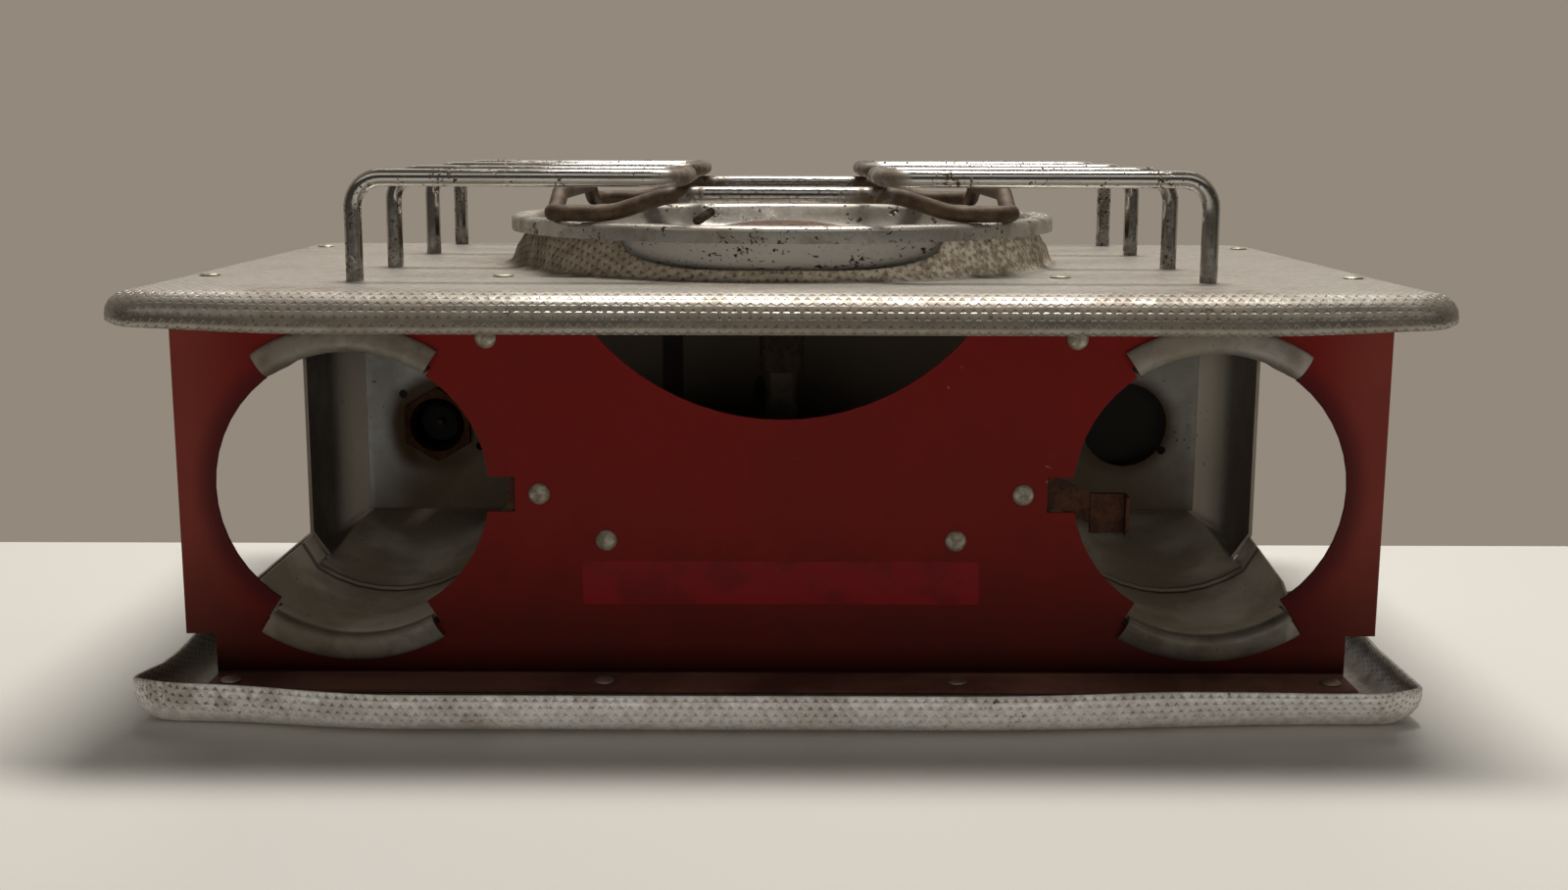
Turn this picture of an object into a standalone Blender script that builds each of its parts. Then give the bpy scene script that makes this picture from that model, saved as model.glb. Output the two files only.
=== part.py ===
"""A single burner camp stove with two cartridge bays, as separate named pieces.

Metres, +Z up. The origin is on the ground under the middle of the deck. +X is to the
right and +Y is away from the open side where the cartridges go in, towards the knob.
"""

import math

import bmesh
import bpy
from mathutils import Matrix, Vector

# Sheet and clearances
ALUMINIUM = 0.0010
STEEL = 0.0010
SPRING_STEEL = 0.0008
GAP = 0.0003
LAP = 0.0002
OVERRUN = 0.0040
ROUND_STEPS = 36
SMALL_STEPS = 12
RIVET_STEPS = 8

# Deck, an inverted shallow pan
DECK_WIDTH = 0.3470
DECK_DEPTH = 0.2120
DECK_TOP = 0.1160
DECK_DROP = 0.0112
DECK_CORNER = 0.0140
EDGE_ROUND = 0.0090
CORNER_STEPS = 5
EDGE_STEPS = 4

# Base tray, the same stamping the right way up
TRAY_WIDTH = 0.3440
TRAY_HEIGHT = 0.0118

# Burner axis, collar and bowl
BURNER_Y = 0.0140
COLLAR_MARGIN = 0.0080
COLLAR_LEAN = 0.0045
COLLAR_DIP = 0.0036
COLLAR_FOOT = 0.0030
SCALLOP_HALF_WIDTH = 0.0460
SCALLOP_ROUND = 0.0090
SCALLOPS = 3
BOWL_OVERHANG = 0.0047
BOWL_RIM_HEIGHT = 0.0150
BOWL_SHEET = 0.0008
BOWL_FLANGE = 0.0047
BOWL_HOLE_RADIUS = 0.0245
BOWL_START_SHARE = 0.8
BOWL_SHARES = ((0.72, 0.05), (0.88, 0.24), (0.955, 0.5), (0.985, 0.86))
DRAIN_X = 0.0280
DRAIN_RISE = 0.0105
DRAIN_RADIUS = 0.0022

# Red panels
PANEL_SETBACK = 0.0485
PANEL_HALF_WIDTH = 0.1702
PANEL_FOOT_HALF_WIDTH = 0.1618
PANEL_STEP = 0.0024
PANEL_SHOULDER = 0.0070
PANEL_FLANGE = 0.0136
REAR_PANEL_SETBACK = 0.0235
REAR_PANEL_HALF_WIDTH = 0.1675
VENT_RADIUS = 0.0684
VENT_LOW = 0.0394

# Cartridge bays
BAY_X = 0.1210
BAY_Z = 0.0568
OPENING_RADIUS = 0.0386
OPENING_STEPS = 48
NOTCH_HALF_HEIGHT = 0.0050
NOTCH_Z = 0.0552
NOTCH_END_X = 0.0752
CRADLE_RADIUS = 0.0428
CRADLE_SHARE = 0.498
CRADLE_LIP_RADIUS = 0.0498
CRADLE_LIP_INNER = math.radians(30.3)
CRADLE_LIP_OUTER = math.radians(33.0)
CRADLE_EDGE_X = 0.1495
CRADLE_EDGE_Z = 0.0290
CRADLE_CROP_REACH = 0.0185
CRADLE_CROP_DROP = 0.0030
CRADLE_CROP_FRONT_DROP = 0.0065
LIP_BEND = 0.0015
LIP_BEND_STEPS = 3
POCKET_MARGIN = math.radians(1)
SADDLE_RADIUS = 0.0388
SADDLE_LIP_RADIUS = 0.0465
SADDLE_LIP_INNER = math.radians(33.0)
SADDLE_LIP_OUTER = math.radians(35.0)
SADDLE_SLEEVE = 0.0200
SADDLE_EAR_ANGLE = math.radians(25)
SECTION_FIRST_ANGLE = math.radians(74.0)
SECTION_STEP = math.radians(9.0)
SECTION_STEPS = 12
BAY_REAR_SETBACK = 0.0165
BAY_REAR_FLOOR = 0.0245
BAY_REAR_X = 0.1455
BAY_WAIST_SHARE = 0.749
BAY_WAIST_RADIUS = 0.0375
BAY_FRONT_LAP = 0.0130
BAY_WALL_X = 0.1495
BAY_WALL_BEND_SHARE = 0.838
BAY_WALL_LOW = 0.0225
BAY_WALL_FRONT_LOW = 0.0300
BAY_WALL_CUT = 0.0070
BAY_INNER_HALF_WIDTH = 0.0380
FITTING_X = 0.1204
FITTING_Z = 0.0550
SPARE_HOLE_RADIUS = 0.0148
PIN_HOLE_RADIUS = 0.0015
LEFT_PIN_HOLE_DROP = 0.0081
LEFT_PIN_HOLE_SHIFT = 0.0143
LEFT_TOP_HOLE_RISE = 0.0104
LEFT_TOP_HOLE_SHIFT = 0.0122
RIGHT_PIN_HOLE_DROP = 0.0090
RIGHT_PIN_HOLE_SHIFT = 0.0133

# Rivets
RIVET_HEAD_RADIUS = 0.0030
RIVET_HEAD_HEIGHT = 0.0013
RIVET_TAIL_RADIUS = 0.0026
RIVET_TAIL_HEIGHT = 0.0010
RIVET_SHANK_RADIUS = 0.0016
RIVET_DOME_SHARES = (0.55, 0.9)
CLIP_RIVET_X = 0.0683
CLIP_RIVET_Z = 0.0553
LOW_RIVET_X = 0.0495
LOW_RIVET_Z = 0.0419
TOP_RIVET_X = 0.0823
TOP_RIVET_Z = 0.0995
EAR_MARGIN = 0.0050
INNER_TRAY_RIVET_X = 0.0500
OUTER_TRAY_RIVET_X = 0.1560
INNER_DECK_RIVET_X = 0.0780
OUTER_DECK_RIVET_MARGIN = 0.0045

# Retaining clips
CLIP_HALF_WIDTH = 0.0046
CLIP_GAP = 0.0005
CLIP_TAIL_X = 0.0648
CLIP_BEND_X = 0.0790
CLIP_STUB_X = 0.0777
CLIP_REACH_X = 0.0890
CLIP_TIP_X = 0.0985
CLIP_DEPTH = 0.0040
CLIP_DROP = 0.0052
CLIP_TAB_LOW = 0.0432
CLIP_TAB_TOP = 0.0548

# Grate, bent from round wire
WIRE_RADIUS = 0.0024
WIRE_CLEARANCE = 0.0006
GRATE_WIRE_HEIGHT = 0.0277
FOOT_X = 0.1157
LEG_NEAR = 0.0293
LEG_MARGIN = 0.0117
FOOT_BELOW_DECK = 0.0040
HAIRPIN_END_X = 0.0274
HAIRPIN_BEND = 0.0080
WIRE_BEND_STEPS = 4
LOOP_BEND_STEPS = 2
LOOP_HALF_WIDTH = 0.0648
LOOP_INSET = 0.0183
LOOP_HIGH_HALF = 0.0310
LOOP_LOW_START = 0.0495
LOOP_SIDE_LOW = 0.0110
LOOP_SIDE_HIGH = 0.0240
LOOP_BEND = 0.0070

# Burner, mixing tube and valve
HEAD_RADIUS = 0.0220
HEAD_RISE = 0.0085
HEAD_DEPTH = 0.0140
HEAD_WALL = 0.0030
HEAD_TAPER_SHARE = 0.6
NECK_TOP_RADIUS = 0.0085
NECK_RADIUS = 0.0070
NECK_DROP = 0.0350
CAP_RADIUS = 0.0220
CAP_RISE = 0.0125
CAP_EDGE = 0.0016
CAP_DOME_SHARES = ((0.5, 0.25), (0.85, 1.0))
TUBE_RADIUS = 0.0050
TUBE_BEND = 0.0140
TUBE_BEND_STEPS = 6
STRAP_DROP = 0.0180
STRAP_HALF_WIDTH = 0.0100
STRAP_MARGIN = 0.0060
STRAP_FOOT = 0.0100
VALVE_RADIUS = 0.0110
SPIGOT_RADIUS = 0.0090
SOCKET_RADIUS = 0.0074
SPIGOT_REACH = 0.0060
SOCKET_DEPTH = 0.0120
NUT_RADIUS = 0.0130
NUT_THICKNESS = 0.0036
SEAL_THICKNESS = 0.0015
NEEDLE_RADIUS = 0.0011
NEEDLE_REACH = 0.0070
NEEDLE_SHANK_SHARE = 0.75
BONNET_RADIUS = 0.0050
BONNET_LENGTH = 0.0028
PACKING_RADIUS = 0.0070
PACKING_THICKNESS = 0.0034
STEM_RADIUS = 0.0024
STEM_SEAT = 0.0060
BOSS_RADIUS = 0.0060
BOSS_REACH = 0.0145
JET_RADIUS = 0.0035
JET_LENGTH = 0.0050
KNOB_RADIUS = 0.0165
KNOB_LENGTH = 0.0150
KNOB_WAIST_RADIUS = 0.0100
KNOB_SCREW_RADIUS = 0.0030
KNOB_SCREW_HEAD = 0.0012
KNOB_FLUTES = 10
KNOB_FLUTE_RADIUS = 0.0035
KNOB_FLUTE_SHARE = 0.6
KNOB_FACE_SHARE = 0.9
KNOB_EDGE_SHARE = 0.88
KNOB_GRIP_SHARE = 0.3
KNOB_WAIST_SHARE = 0.2
KNOB_FLUTE_START_SHARE = 0.15
KNOB_SEAT_SHARE = 2 / 3
SCREW_FACE_SHARE = 0.7

# Places worked out from the sizes above
DECK_UNDER = DECK_TOP - ALUMINIUM
FRONT_Y = -DECK_DEPTH / 2 + PANEL_SETBACK
FRONT_BACK_Y = FRONT_Y + STEEL
REAR_Y = DECK_DEPTH / 2 - REAR_PANEL_SETBACK
REAR_FRONT_Y = REAR_Y - STEEL
COLLAR_BASE_RADIUS = DECK_DEPTH / 2 - BURNER_Y - COLLAR_MARGIN
COLLAR_TOP_RADIUS = COLLAR_BASE_RADIUS - COLLAR_LEAN
BOWL_RADIUS = COLLAR_TOP_RADIUS + BOWL_OVERHANG
STRAP_HALF_SPAN = COLLAR_BASE_RADIUS + STRAP_MARGIN
BAY_REAR_Y = REAR_Y - BAY_REAR_SETBACK
BAY_LENGTH = BAY_REAR_Y - FRONT_Y
CRADLE_REAR_Y = FRONT_Y + BAY_LENGTH * CRADLE_SHARE
CRADLE_CROP_Y = FRONT_Y + CRADLE_CROP_REACH
BAY_FRONT_Y = CRADLE_REAR_Y - BAY_FRONT_LAP
BAY_WAIST_Y = FRONT_Y + BAY_LENGTH * BAY_WAIST_SHARE
BAY_WALL_BEND_Y = FRONT_Y + BAY_LENGTH * BAY_WALL_BEND_SHARE
DECK_FLAT_X = DECK_WIDTH / 2 - EDGE_ROUND
OUTER_DECK_RIVET_X = min(DECK_FLAT_X, PANEL_HALF_WIDTH, REAR_PANEL_HALF_WIDTH) - OUTER_DECK_RIVET_MARGIN
PANEL_LOW = ALUMINIUM + GAP
PANEL_TOP = DECK_UNDER - GAP
WIRE_Z = DECK_TOP + GRATE_WIRE_HEIGHT
LOOP_HIGH_Z = WIRE_Z - 2 * WIRE_RADIUS - GAP
LOOP_LOW_Z = DECK_TOP + BOWL_RIM_HEIGHT + WIRE_RADIUS + GAP
COLLAR_TOP = DECK_TOP + BOWL_RIM_HEIGHT - BOWL_SHEET - GAP
SHANK_HOLE_RADIUS = RIVET_SHANK_RADIUS + GAP
VALVE_BACK_Y = REAR_FRONT_Y - GAP
LEG_FAR = DECK_DEPTH / 2 - BURNER_Y - LEG_MARGIN
LEG_OFFSETS = (-LEG_FAR, -LEG_NEAR, LEG_NEAR, LEG_FAR)
LOOP_HALF_DEPTH = LEG_FAR - LOOP_INSET

for old in list(bpy.data.objects):
    bpy.data.objects.remove(old)

stove = bpy.data.collections.new("camp_stove")
cutters = bpy.data.collections.new("cutters")
for collection in (stove, cutters):
    bpy.context.scene.collection.children.link(collection)


def dressed(obj, colour, roughness, metallic):
    """Give the object a material of its own."""
    material = bpy.data.materials.new(obj.name)
    material.use_nodes = True
    shader = material.node_tree.nodes["Principled BSDF"]
    shader.inputs["Base Color"].default_value = (*colour, 1.0)
    shader.inputs["Roughness"].default_value = roughness
    shader.inputs["Metallic"].default_value = metallic
    obj.data.materials.append(material)
    return obj


def aluminium(obj):
    return dressed(obj, (0.60, 0.58, 0.54), 0.38, 1.0)


def galvanised(obj):
    return dressed(obj, (0.40, 0.40, 0.38), 0.50, 1.0)


def red_paint(obj):
    return dressed(obj, (0.36, 0.02, 0.02), 0.35, 0.0)


def chrome(obj):
    return dressed(obj, (0.75, 0.74, 0.72), 0.15, 1.0)


def brass(obj):
    return dressed(obj, (0.55, 0.42, 0.20), 0.35, 1.0)


def put(name, bm, helper=False):
    """Make an object of the bmesh, among the parts or among the cutters."""
    mesh = bpy.data.meshes.new(name)
    bm.to_mesh(mesh)
    bm.free()
    obj = bpy.data.objects.new(name, mesh)
    if helper:
        obj.hide_render = True
        obj.display_type = "WIRE"
        cutters.objects.link(obj)
    else:
        stove.objects.link(obj)
    return obj


def smooth(obj, angle=35):
    obj.data.shade_smooth()
    obj.data.set_sharp_from_angle(angle=math.radians(angle))
    return obj


def block(name, low, high, helper=False):
    bm = bmesh.new()
    bmesh.ops.create_cube(bm, size=1)
    size = Vector(high) - Vector(low)
    middle = (Vector(high) + Vector(low)) / 2
    bmesh.ops.transform(bm, matrix=Matrix.Translation(middle) @ Matrix.Diagonal((*size, 1)), verts=bm.verts)
    return put(name, bm, helper)


def mirrored_block(name, side, low, high, helper=False):
    """A block given for the right side, or its mirror image for side -1."""
    xs = sorted((side * low[0], side * high[0]))
    return block(name, (xs[0], low[1], low[2]), (xs[1], high[1], high[2]), helper)


def rod(name, start, end, radius, sides=SMALL_STEPS, helper=False, end_radius=None):
    """A cylinder or cone between two points."""
    start = Vector(start)
    along = Vector(end) - start
    bm = bmesh.new()
    bmesh.ops.create_cone(
        bm,
        cap_ends=True,
        segments=sides,
        radius1=radius,
        radius2=radius if end_radius is None else end_radius,
        depth=along.length,
    )
    turn = along.to_track_quat("Z", "Y").to_matrix().to_4x4()
    bmesh.ops.transform(bm, matrix=Matrix.Translation(start + along / 2) @ turn, verts=bm.verts)
    return put(name, bm, helper)


def boolean(target, operation, tools):
    for tool in tools:
        modifier = target.modifiers.new(tool.name, "BOOLEAN")
        modifier.operation = operation
        modifier.object = tool
    return target


def cut(target, *tools):
    return boolean(target, "DIFFERENCE", tools)


def join(target, *tools):
    return boolean(target, "UNION", tools)


def turned(name, profile, place, along="Z", steps=ROUND_STEPS, sheet=None, helper=False):
    """Turn a profile of (radius, height) points, top to bottom on its outer side."""
    bm = bmesh.new()
    points = [bm.verts.new((radius, 0, height)) for radius, height in profile]
    for first, second in zip(points, points[1:]):
        bm.edges.new((first, second))
    obj = put(name, bm, helper)
    obj.location = place
    if along == "Y":
        obj.rotation_euler = (-math.pi / 2, 0, 0)
    screw = obj.modifiers.new("turn", "SCREW")
    screw.steps = steps
    screw.render_steps = steps
    screw.use_merge_vertices = True
    screw.merge_threshold = 0.00002
    screw.use_smooth_shade = True
    if sheet:
        solid = obj.modifiers.new("sheet", "SOLIDIFY")
        solid.thickness = sheet
        solid.offset = -1
    return obj


def sector(name, side, profile, first, last, steps, helper=False):
    """Sweep a profile of (radius, y) points round a bay's axis.

    The angles run from straight down, positive towards the outer side of the stove."""
    bm = bmesh.new()
    centre = Vector((side * BAY_X, 0, BAY_Z))
    points = []
    for radius, y in profile:
        x = side * radius * math.sin(first)
        points.append(bm.verts.new(centre + Vector((x, y, -radius * math.cos(first)))))
    face = bm.faces.new(points)
    bmesh.ops.spin(
        bm,
        geom=[face],
        cent=centre,
        axis=Vector((0, -side, 0)),
        angle=last - first,
        steps=steps,
        use_merge=False,
    )
    bmesh.ops.recalc_face_normals(bm, faces=bm.faces)
    return put(name, bm, helper)


def sheet(name, rows, inside, thickness):
    """A loft through rows of points, thickened away from the point inside."""
    bm = bmesh.new()
    grid = [[bm.verts.new(point) for point in row] for row in rows]
    for row, following in zip(grid, grid[1:]):
        for k in range(len(row) - 1):
            bm.faces.new((row[k], row[k + 1], following[k + 1], following[k]))
    bm.faces.ensure_lookup_table()
    bm.normal_update()
    middle = bm.faces[len(bm.faces) // 2]
    if middle.normal.dot(Vector(inside) - middle.calc_center_median()) < 0:
        bmesh.ops.reverse_faces(bm, faces=bm.faces)
    obj = put(name, bm)
    solid = obj.modifiers.new("sheet", "SOLIDIFY")
    solid.thickness = thickness
    solid.offset = -1
    solid.use_even_offset = True
    return obj


def rounded_path(corners, radius, steps, closed=False):
    """The polyline through the corners, with each corner rounded to the radius."""
    corners = [Vector(corner) for corner in corners]
    count = len(corners)
    points = []
    for k, corner in enumerate(corners):
        if not closed and k in (0, count - 1):
            points.append(corner)
            continue
        arriving = (corner - corners[k - 1]).normalized()
        leaving = (corners[(k + 1) % count] - corner).normalized()
        turn = arriving.angle(leaving)
        inward = (leaving - arriving * leaving.dot(arriving)).normalized()
        start = corner - arriving * radius * math.tan(turn / 2)
        for step in range(steps + 1):
            bend = turn * step / steps
            offset = arriving * math.sin(bend) + inward * (1 - math.cos(bend))
            points.append(start + offset * radius)
    return points


def wire(name, points, radius, closed=False):
    curve = bpy.data.curves.new(name, "CURVE")
    curve.dimensions = "3D"
    curve.bevel_depth = radius
    curve.bevel_resolution = 2
    curve.use_fill_caps = True
    spline = curve.splines.new("POLY")
    spline.points.add(len(points) - 1)
    for point, place in zip(spline.points, points):
        point.co = (*place, 1)
    spline.use_cyclic_u = closed
    obj = bpy.data.objects.new(name, curve)
    stove.objects.link(obj)
    return obj


def origin_at(obj, place):
    """Move the object's origin and leave its shape where it is."""
    obj.data.transform(Matrix.Translation(-Vector(place)))
    obj.location = place
    return obj


def pan(name, width, depth, low, high, opening_up):
    """A shallow pan with rounded corners, open upwards or downwards."""

    def rounded(piece, inset, bottom, top, helper):
        bm = bmesh.new()
        bmesh.ops.create_cube(bm, size=1)
        span = (width - 2 * inset, depth - 2 * inset, top - bottom, 1)
        centre = Vector((0, 0, (top + bottom) / 2))
        bmesh.ops.transform(bm, matrix=Matrix.Translation(centre) @ Matrix.Diagonal(span), verts=bm.verts)
        upright = [e for e in bm.edges if abs((e.verts[0].co - e.verts[1].co).normalized().z) > 0.5]
        bmesh.ops.bevel(
            bm,
            geom=upright,
            offset=DECK_CORNER - inset,
            segments=CORNER_STEPS,
            profile=0.5,
            affect="EDGES",
        )
        closed_z = bottom if opening_up else top
        rim = [e for e in bm.edges if all(abs(v.co.z - closed_z) < LAP / 2 for v in e.verts)]
        bmesh.ops.bevel(
            bm,
            geom=rim,
            offset=EDGE_ROUND - inset,
            segments=EDGE_STEPS,
            profile=0.5,
            affect="EDGES",
        )
        return put(piece, bm, helper)

    shell = rounded(name, 0, low, high, False)
    if opening_up:
        hollow = rounded(name + "_hollow", ALUMINIUM, low + ALUMINIUM, high + OVERRUN, True)
    else:
        hollow = rounded(name + "_hollow", ALUMINIUM, low - OVERRUN, high - ALUMINIUM, True)
    cut(shell, hollow)
    return smooth(shell)


def rivet(name, face, inward, grip, tail=True):
    """A rivet whose domed head sits on the point face, its shank running inward."""
    profile = [(0, RIVET_HEAD_HEIGHT + GAP)]
    for share in RIVET_DOME_SHARES:
        radius = RIVET_HEAD_RADIUS * share
        profile.append((radius, GAP + RIVET_HEAD_HEIGHT * math.sqrt(1 - share**2)))
    profile += [(RIVET_HEAD_RADIUS, GAP), (RIVET_SHANK_RADIUS, GAP)]
    if tail:
        seat = -grip - GAP
        profile += [
            (RIVET_SHANK_RADIUS, seat),
            (RIVET_TAIL_RADIUS, seat),
            (RIVET_TAIL_RADIUS, seat - RIVET_TAIL_HEIGHT),
            (0, seat - RIVET_TAIL_HEIGHT),
        ]
    else:
        profile += [(RIVET_SHANK_RADIUS, -grip), (0, -grip)]
    obj = turned(name, profile, face, steps=RIVET_STEPS)
    obj.rotation_euler = (-Vector(inward)).to_track_quat("Z", "Y").to_euler()
    return dressed(obj, (0.62, 0.60, 0.56), 0.35, 1.0)


# Deck with its collar, scalloped at three places, and the holes for the grate's legs
deck = pan("deck_top", DECK_WIDTH, DECK_DEPTH, DECK_TOP - DECK_DROP, DECK_TOP, False)
burner_hole = rod(
    "burner_hole",
    (0, BURNER_Y, DECK_UNDER - OVERRUN),
    (0, BURNER_Y, DECK_TOP + OVERRUN),
    COLLAR_BASE_RADIUS - ALUMINIUM,
    ROUND_STEPS,
    True,
)
COLLAR_INSIDE = COLLAR_TOP_RADIUS - ALUMINIUM
collar_profile = [
    (COLLAR_INSIDE, COLLAR_TOP),
    (COLLAR_TOP_RADIUS, COLLAR_TOP),
    (COLLAR_BASE_RADIUS - LAP, DECK_TOP + COLLAR_FOOT),
    (COLLAR_BASE_RADIUS + LAP, DECK_TOP + LAP),
    (COLLAR_BASE_RADIUS + LAP, DECK_UNDER + LAP),
    (COLLAR_BASE_RADIUS - ALUMINIUM - LAP, DECK_UNDER + LAP),
    (COLLAR_BASE_RADIUS - ALUMINIUM - LAP, DECK_TOP + COLLAR_FOOT - LAP),
    (COLLAR_INSIDE, COLLAR_TOP),
]
collar = turned("collar", collar_profile, (0, BURNER_Y, 0), helper=True)
cut(deck, burner_hole)
join(deck, collar)
for k in range(SCALLOPS):
    bm = bmesh.new()
    bmesh.ops.create_cube(bm, size=1)
    low = Vector((-SCALLOP_HALF_WIDTH, -COLLAR_BASE_RADIUS - OVERRUN, DECK_TOP + COLLAR_DIP))
    high = Vector((SCALLOP_HALF_WIDTH, -COLLAR_TOP_RADIUS / 2, COLLAR_TOP + SCALLOP_ROUND + OVERRUN))
    size = high - low
    bmesh.ops.transform(
        bm,
        matrix=Matrix.Translation((high + low) / 2) @ Matrix.Diagonal((*size, 1)),
        verts=bm.verts,
    )
    lower = [
        e
        for e in bm.edges
        if abs((e.verts[0].co - e.verts[1].co).normalized().y) > 0.5 and e.verts[0].co.z < low.z + LAP
    ]
    bmesh.ops.bevel(bm, geom=lower, offset=SCALLOP_ROUND, segments=EDGE_STEPS, profile=0.5, affect="EDGES")
    turn = Matrix.Rotation(2 * math.pi * k / SCALLOPS, 4, "Z")
    bmesh.ops.transform(bm, matrix=Matrix.Translation((0, BURNER_Y, 0)) @ turn, verts=bm.verts)
    cut(deck, put(f"scallop_{k}", bm, True))
for side in (-1, 1):
    for offset in LEG_OFFSETS:
        place = Vector((side * FOOT_X, BURNER_Y + offset, DECK_UNDER))
        hole = rod(
            "leg_hole",
            place - Vector((0, 0, OVERRUN)),
            place + Vector((0, 0, ALUMINIUM + OVERRUN)),
            WIRE_RADIUS + WIRE_CLEARANCE,
            helper=True,
        )
        cut(deck, hole)
aluminium(deck)

# Base tray
tray = pan("base_tray", TRAY_WIDTH, DECK_DEPTH, 0, TRAY_HEIGHT, True)
aluminium(tray)


def panel(name, face_y, inward, half_width):
    """A panel folded from one sheet, from the tray up to the deck.

    inward is the way along Y from its shown face to the middle of the stove. The top
    flange turns inward under the deck, and the foot turns outward on the tray."""
    fold = [
        (face_y + inward * PANEL_FLANGE, PANEL_TOP),
        (face_y, PANEL_TOP),
        (face_y, PANEL_LOW + STEEL),
        (face_y - inward * PANEL_FLANGE, PANEL_LOW + STEEL),
    ]
    rows = [[(x, y, z) for y, z in fold] for x in (-half_width, half_width)]
    upright = sheet(name, rows, (0, face_y - inward * PANEL_FLANGE, DECK_TOP / 2), STEEL)
    far = PANEL_FLANGE + OVERRUN
    edge = half_width + OVERRUN
    corners = (
        (DECK_FLAT_X, DECK_TOP - PANEL_SHOULDER, PANEL_TOP + OVERRUN),
        (min(half_width, PANEL_FOOT_HALF_WIDTH), PANEL_LOW - OVERRUN, TRAY_HEIGHT + PANEL_STEP),
    )
    for side in (-1, 1):
        for x, low, high in corners:
            near = (x, face_y - far, low)
            cut(upright, mirrored_block(name + "_corner", side, near, (edge, face_y + far, high), True))
    return upright


# Front panel with its two openings, the clip notches and the half-moon air opening
front = panel("front_panel", FRONT_Y, 1, PANEL_HALF_WIDTH)
through_front = (FRONT_Y - OVERRUN, FRONT_BACK_Y + OVERRUN)
VENT_Z = DECK_TOP - VENT_LOW + VENT_RADIUS
vent = rod(
    "vent",
    (0, through_front[0], VENT_Z),
    (0, through_front[1], VENT_Z),
    VENT_RADIUS,
    ROUND_STEPS * 2,
    True,
)
vent_top = block(
    "vent_top",
    (-VENT_RADIUS, through_front[0] - OVERRUN, PANEL_TOP - STEEL - LAP),
    (VENT_RADIUS, through_front[1] + OVERRUN, VENT_Z + VENT_RADIUS + OVERRUN),
    True,
)
cut(vent, vent_top)
cut(front, vent)
for side in (-1, 1):
    opening = rod(
        "opening",
        (side * BAY_X, through_front[0], BAY_Z),
        (side * BAY_X, through_front[1], BAY_Z),
        OPENING_RADIUS,
        OPENING_STEPS,
        True,
    )
    notch = mirrored_block(
        "notch",
        side,
        (NOTCH_END_X, through_front[0], NOTCH_Z - NOTCH_HALF_HEIGHT),
        (BAY_X, through_front[1], NOTCH_Z + NOTCH_HALF_HEIGHT),
        True,
    )
    pockets = []
    for name, radius, first, last in (
        ("low_pocket", CRADLE_RADIUS, -CRADLE_LIP_INNER, CRADLE_LIP_OUTER),
        ("top_pocket", SADDLE_RADIUS, math.pi - SADDLE_LIP_OUTER, math.pi + SADDLE_LIP_INNER),
    ):
        clear = radius + STEEL + LIP_BEND + GAP
        pocket = [
            (OPENING_RADIUS / 2, through_front[0]),
            (clear, through_front[0]),
            (clear, through_front[1]),
            (OPENING_RADIUS / 2, through_front[1]),
        ]
        spread = (first - POCKET_MARGIN, last + POCKET_MARGIN)
        pockets.append(sector(name, side, pocket, *spread, SMALL_STEPS, True))
    cut(front, opening, notch, *pockets)
    for x, z in ((CLIP_RIVET_X, CLIP_RIVET_Z), (LOW_RIVET_X, LOW_RIVET_Z), (TOP_RIVET_X, TOP_RIVET_Z)):
        hole = rod(
            "rivet_hole",
            (side * x, through_front[0], z),
            (side * x, through_front[1] + STEEL, z),
            SHANK_HOLE_RADIUS,
            helper=True,
        )
        cut(front, hole)
red_paint(front)

# Rear panel on the user's side, with the valve hole
rear = panel("rear_panel", REAR_Y, -1, REAR_PANEL_HALF_WIDTH)
through_rear = (REAR_FRONT_Y - OVERRUN, REAR_Y + OVERRUN)
valve_hole = rod(
    "valve_hole",
    (-FITTING_X, through_rear[0], FITTING_Z),
    (-FITTING_X, through_rear[1], FITTING_Z),
    BONNET_RADIUS + GAP,
    SMALL_STEPS * 2,
    True,
)
cut(rear, valve_hole)
red_paint(rear)

# Rivets that hold the panels to the tray and to the deck
sides = {-1: "left", 1: "right"}
ends = {
    "front": (FRONT_Y + PANEL_FLANGE / 2, FRONT_Y - PANEL_FLANGE / 2, front),
    "rear": (REAR_Y - PANEL_FLANGE / 2, REAR_Y + PANEL_FLANGE / 2, rear),
}
for end, (deck_y, tray_y, upright) in ends.items():
    for side, word in sides.items():
        for place, x in (("inner", INNER_DECK_RIVET_X), ("outer", OUTER_DECK_RIVET_X)):
            hole = rod(
                "rivet_hole",
                (side * x, deck_y, PANEL_TOP - STEEL - OVERRUN),
                (side * x, deck_y, DECK_TOP + OVERRUN),
                SHANK_HOLE_RADIUS,
                helper=True,
            )
            cut(deck, hole)
            cut(upright, hole)
            grip = DECK_TOP - PANEL_TOP + STEEL
            rivet(f"deck_rivet_{end}_{place}_{word}", (side * x, deck_y, DECK_TOP), (0, 0, -1), grip)
        for place, x in (("inner", INNER_TRAY_RIVET_X), ("outer", OUTER_TRAY_RIVET_X)):
            hole = rod(
                "rivet_hole",
                (side * x, tray_y, -OVERRUN),
                (side * x, tray_y, PANEL_LOW + STEEL + OVERRUN),
                SHANK_HOLE_RADIUS,
                helper=True,
            )
            cut(tray, hole)
            cut(upright, hole)
            seat = PANEL_LOW + STEEL
            face = (side * x, tray_y, seat)
            rivet(f"tray_rivet_{end}_{place}_{word}", face, (0, 0, -1), seat - LAP, tail=False)


def section(radius_at, angles):
    """Points of one cross section of a bay sheet, from the inner side to the outer."""
    points = []
    for angle in angles:
        radius = radius_at(angle)
        points.append((BAY_X - radius * math.sin(angle), BAY_Z - radius * math.cos(angle)))
    return points


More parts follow.
